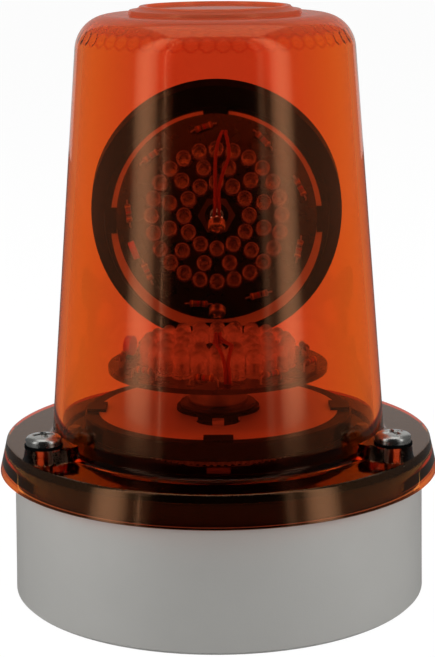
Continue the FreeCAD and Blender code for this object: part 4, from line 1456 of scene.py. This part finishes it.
@dataclass
class Studio:
    """Camera, soft lights, pale floor and the dark card that the dome's front reflects."""

    camera_at: Colour = (0.0, -0.607, 0.220)
    pitch_deg: float = 12.61
    roll_deg: float = -0.45
    lens: float = 107.0
    fill_level: float = 0.14
    glossy_level: float = 0.16
    floor_shine: float = 0.12
    strip_level: float = 1.7
    strip_out: float = 0.55
    tent_r: float = 1450.0
    tent_h: float = 1600.0
    tent_cols: int = 96

    def camera(self) -> None:
        """Sets the camera."""
        data = bpy.data.cameras.new("camera")
        data.lens, data.sensor_width = self.lens, 36.0
        data.clip_start = 0.01
        obj = bpy.data.objects.new("camera", data)
        bpy.context.collection.objects.link(obj)
        obj.matrix_world = (Matrix.Translation(self.camera_at)
                            @ Matrix.Rotation(math.radians(90.0 - self.pitch_deg), 4, "X")
                            @ Matrix.Rotation(math.radians(self.roll_deg), 4, "Z"))
        bpy.context.scene.camera = obj

    def area(self, name: str, size: tuple[float, float], power: float, stand: Matrix) -> bpy.types.Object:
        """Adds a rectangular light.

        Args:
            name: light's name.
            size: width and height, metres.
            power: watts.
            stand: where it stands and how it is turned.

        Returns:
            The light.
        """
        data = bpy.data.lights.new(name, "AREA")
        data.shape = "RECTANGLE"
        data.size, data.size_y = size
        data.energy = power
        obj = bpy.data.objects.new(name, data)
        bpy.context.collection.objects.link(obj)
        obj.matrix_world = stand
        return obj

    def softbox(self, name: str, azimuth: float, distance: float, height: float, size: tuple[float, float],
                power: float) -> None:
        """Adds an upright rectangular light facing the object.

        Args:
            name: light's name.
            azimuth: angle from the camera's side, degrees, positive to the right.
            distance: from the axis, metres.
            height: of its middle, metres.
            size: width and height, metres.
            power: watts.
        """
        a = math.radians(azimuth)
        obj = self.area(name, size, power,
                        Matrix.Translation((distance * math.sin(a), -distance * math.cos(a), height))
                        @ Matrix.Rotation(a, 4, "Z") @ Matrix.Rotation(math.radians(90.0), 4, "X"))
        obj.visible_glossy = False
        obj.visible_transmission = False

    def strip(self, name: str, azimuth: float, width: float, level: float) -> None:
        """Adds the upright panel that one of the dome's long highlights shows.

        Args:
            name: panel's name.
            azimuth: angle from the camera's side, degrees, positive to the right.
            width: metres.
            level: its brightness, 1 for white.
        """
        a = math.radians(azimuth)
        middle = np.array([self.strip_out * math.sin(a), -self.strip_out * math.cos(a), 0.52]) / MM
        across = np.array([math.cos(a), math.sin(a), 0.0]) * width / 2 / MM
        up = np.array([0.0, 0.0, 520.0])
        corners = np.array([middle - across - up, middle + across - up, middle + across + up,
                            middle - across + up])
        self.panel(name, corners, level, 0.75, True)

    def panel(self, name: str, corners: Array, level: float, soft: float = 0.0,
              inner: bool = False) -> None:
        """Adds a panel that the camera doesn't see: a grid between its corners.

        With s the place across, from -1 to 1, it shines with level * ((1 - soft) + soft (1 - s^2)).

        Args:
            name: panel's name.
            corners: its four corners, millimetres.
            level: its brightness, 1 for white.
            soft: how far its sides fall off.
            inner: whether rays that have passed the dome see it too.
        """
        cols = 17
        t = np.linspace(0.0, 1.0, cols)[:, None]
        low = corners[0] * (1 - t) + corners[1] * t
        high = corners[3] * (1 - t) + corners[2] * t
        obj = to_object(name, np.vstack([low, high]), [grid_faces(2, cols, False, False)])
        fall = (1.0 - soft) + soft * (1.0 - (2.0 * t[:, 0] - 1.0) ** 2)
        self.shine(obj, np.tile(level * fall, 2), inner)

    def shine(self, obj: bpy.types.Object, levels: Array, inner: bool = False) -> None:
        """Makes a piece of the staging shine in reflections, and nowhere else unless told.

        Args:
            obj: the panel or card.
            levels: brightness of each vertex, 1 for white.
            inner: whether rays that have passed the dome see it too.
        """
        glow = obj.data.attributes.new("glow", "FLOAT", "POINT")
        glow.data.foreach_set("value", levels.astype(np.float32))
        g = Graph(obj.name + "_glow")
        strength = g.add("Attribute", attribute_name="glow").outputs["Fac"]
        shader = g.add("Emission", {"Color": WHITE, "Strength": strength}).outputs[0]
        obj.data.materials.append(g.finish(shader))
        obj.visible_camera = False
        obj.visible_diffuse = False
        obj.visible_transmission = inner
        obj.visible_shadow = False
        obj.visible_volume_scatter = False

    def world(self) -> None:
        """White where it is seen directly, in glass or in metal; a plain soft level elsewhere."""
        g = Graph("studio", world=True)
        soft = g.add("Background", {"Color": WHITE, "Strength": self.fill_level}).outputs[0]
        white = g.add("Background", {"Color": WHITE}).outputs[0]
        bpy.context.scene.world = g.finish(g.mix(g.seen(), soft, white))

    def floor(self) -> None:
        """Large pale floor that keeps the object's shadow."""
        half = 4000.0
        verts = np.array([[-half, -half, 0], [half, -half, 0], [half, half, 0], [-half, half, 0]])
        obj = to_object("floor", verts, [np.array([[0, 1, 2, 3]])])
        g = Graph("floor_white")
        matte = g.add("BsdfDiffuse", {"Color": (0.5, 0.5, 0.5, 1.0)}).outputs[0]
        glow = g.add("Emission", {"Color": WHITE, "Strength": 1.12}).outputs[0]
        part = g.math("MULTIPLY", g.seen(), 0.86)
        obj.data.materials.append(g.finish(g.mix(part, matte, glow)))

    def tent(self) -> None:
        """Dim drum round the object, with a lid and a ring on the floor, for reflections only."""
        far, lid, cols = self.tent_r, self.tent_h, self.tent_cols
        profile = np.array([[60.0, 0.4], [far - 1.0, 0.4], [far, 0.5], [far, lid], [1.0, lid]])
        angle = full_turn(cols)
        points = np.stack([profile[:, :1] * np.cos(angle), profile[:, :1] * np.sin(angle),
                           np.repeat(profile[:, 1:], cols, axis=1)], axis=-1)
        obj = to_object("tent", points.reshape(-1, 3), [grid_faces(len(profile), cols, False, True)])
        levels = np.array([self.floor_shine] * 2 + [self.glossy_level] * 3)
        self.shine(obj, np.repeat(levels, cols))

    def card(self) -> None:
        """Dark cards on the camera's side and a pale one at the back."""
        width, low, high, y = 620.0, -50.0, 1500.0, -900.0
        corners = np.array([[-width, y, low], [width, y, low], [width, y, high], [-width, y, high]])
        self.panel("dark_card", corners, 0.008, 0.0, True)
        ground = np.array([[-75, -75, 0.9], [75, -75, 0.9], [width, y, 0.9], [-width, y, 0.9]])
        self.panel("dark_ground", ground, 0.008)
        rear = np.array([[700.0, 1200.0, low], [-700.0, 1200.0, low], [-700.0, 1200.0, high],
                         [700.0, 1200.0, high]])
        self.panel("rear_white", rear, 0.6)

    def build(self) -> None:
        """Sets everything up."""
        scene = bpy.context.scene
        scene.view_settings.view_transform = "Standard"
        self.camera()
        self.world()
        self.floor()
        self.tent()
        self.card()
        self.softbox("left_box", -78.0, 0.9, 0.45, (0.5, 0.9), 6.1)
        self.softbox("right_box", 78.0, 0.9, 0.45, (0.5, 0.9), 5.7)
        self.softbox("front_box", 0.0, 1.2, 0.45, (0.5, 0.5), 4.6)
        self.strip("left_strip", -54.5, 0.196, self.strip_level)
        self.strip("left_line", -38.5, 0.009, self.strip_level * 1.6)
        self.strip("right_strip", 51.0, 0.183, self.strip_level)
        self.strip("right_line", 34.5, 0.055, self.strip_level * 0.3)
        self.area("top_light", (1.0, 1.0), 3.0, Matrix.Translation((0.0, 0.15, 1.2)))


def main() -> None:
    """Builds the beacon's pieces in order, then the studio."""
    logging.basicConfig(level=logging.INFO, format="%(name)s %(message)s")
    dresser = Dresser(Finishes())
    DomeMoulding().build(dresser)
    DomeFixings().build(dresser)
    LampField().build(dresser)
    BoardParts().build(dresser)
    LeadPair().build(dresser)
    MirrorUnit().build(dresser)
    Mechanism().build(dresser)
    Studio().build()


if __name__ == "__main__":
    main()
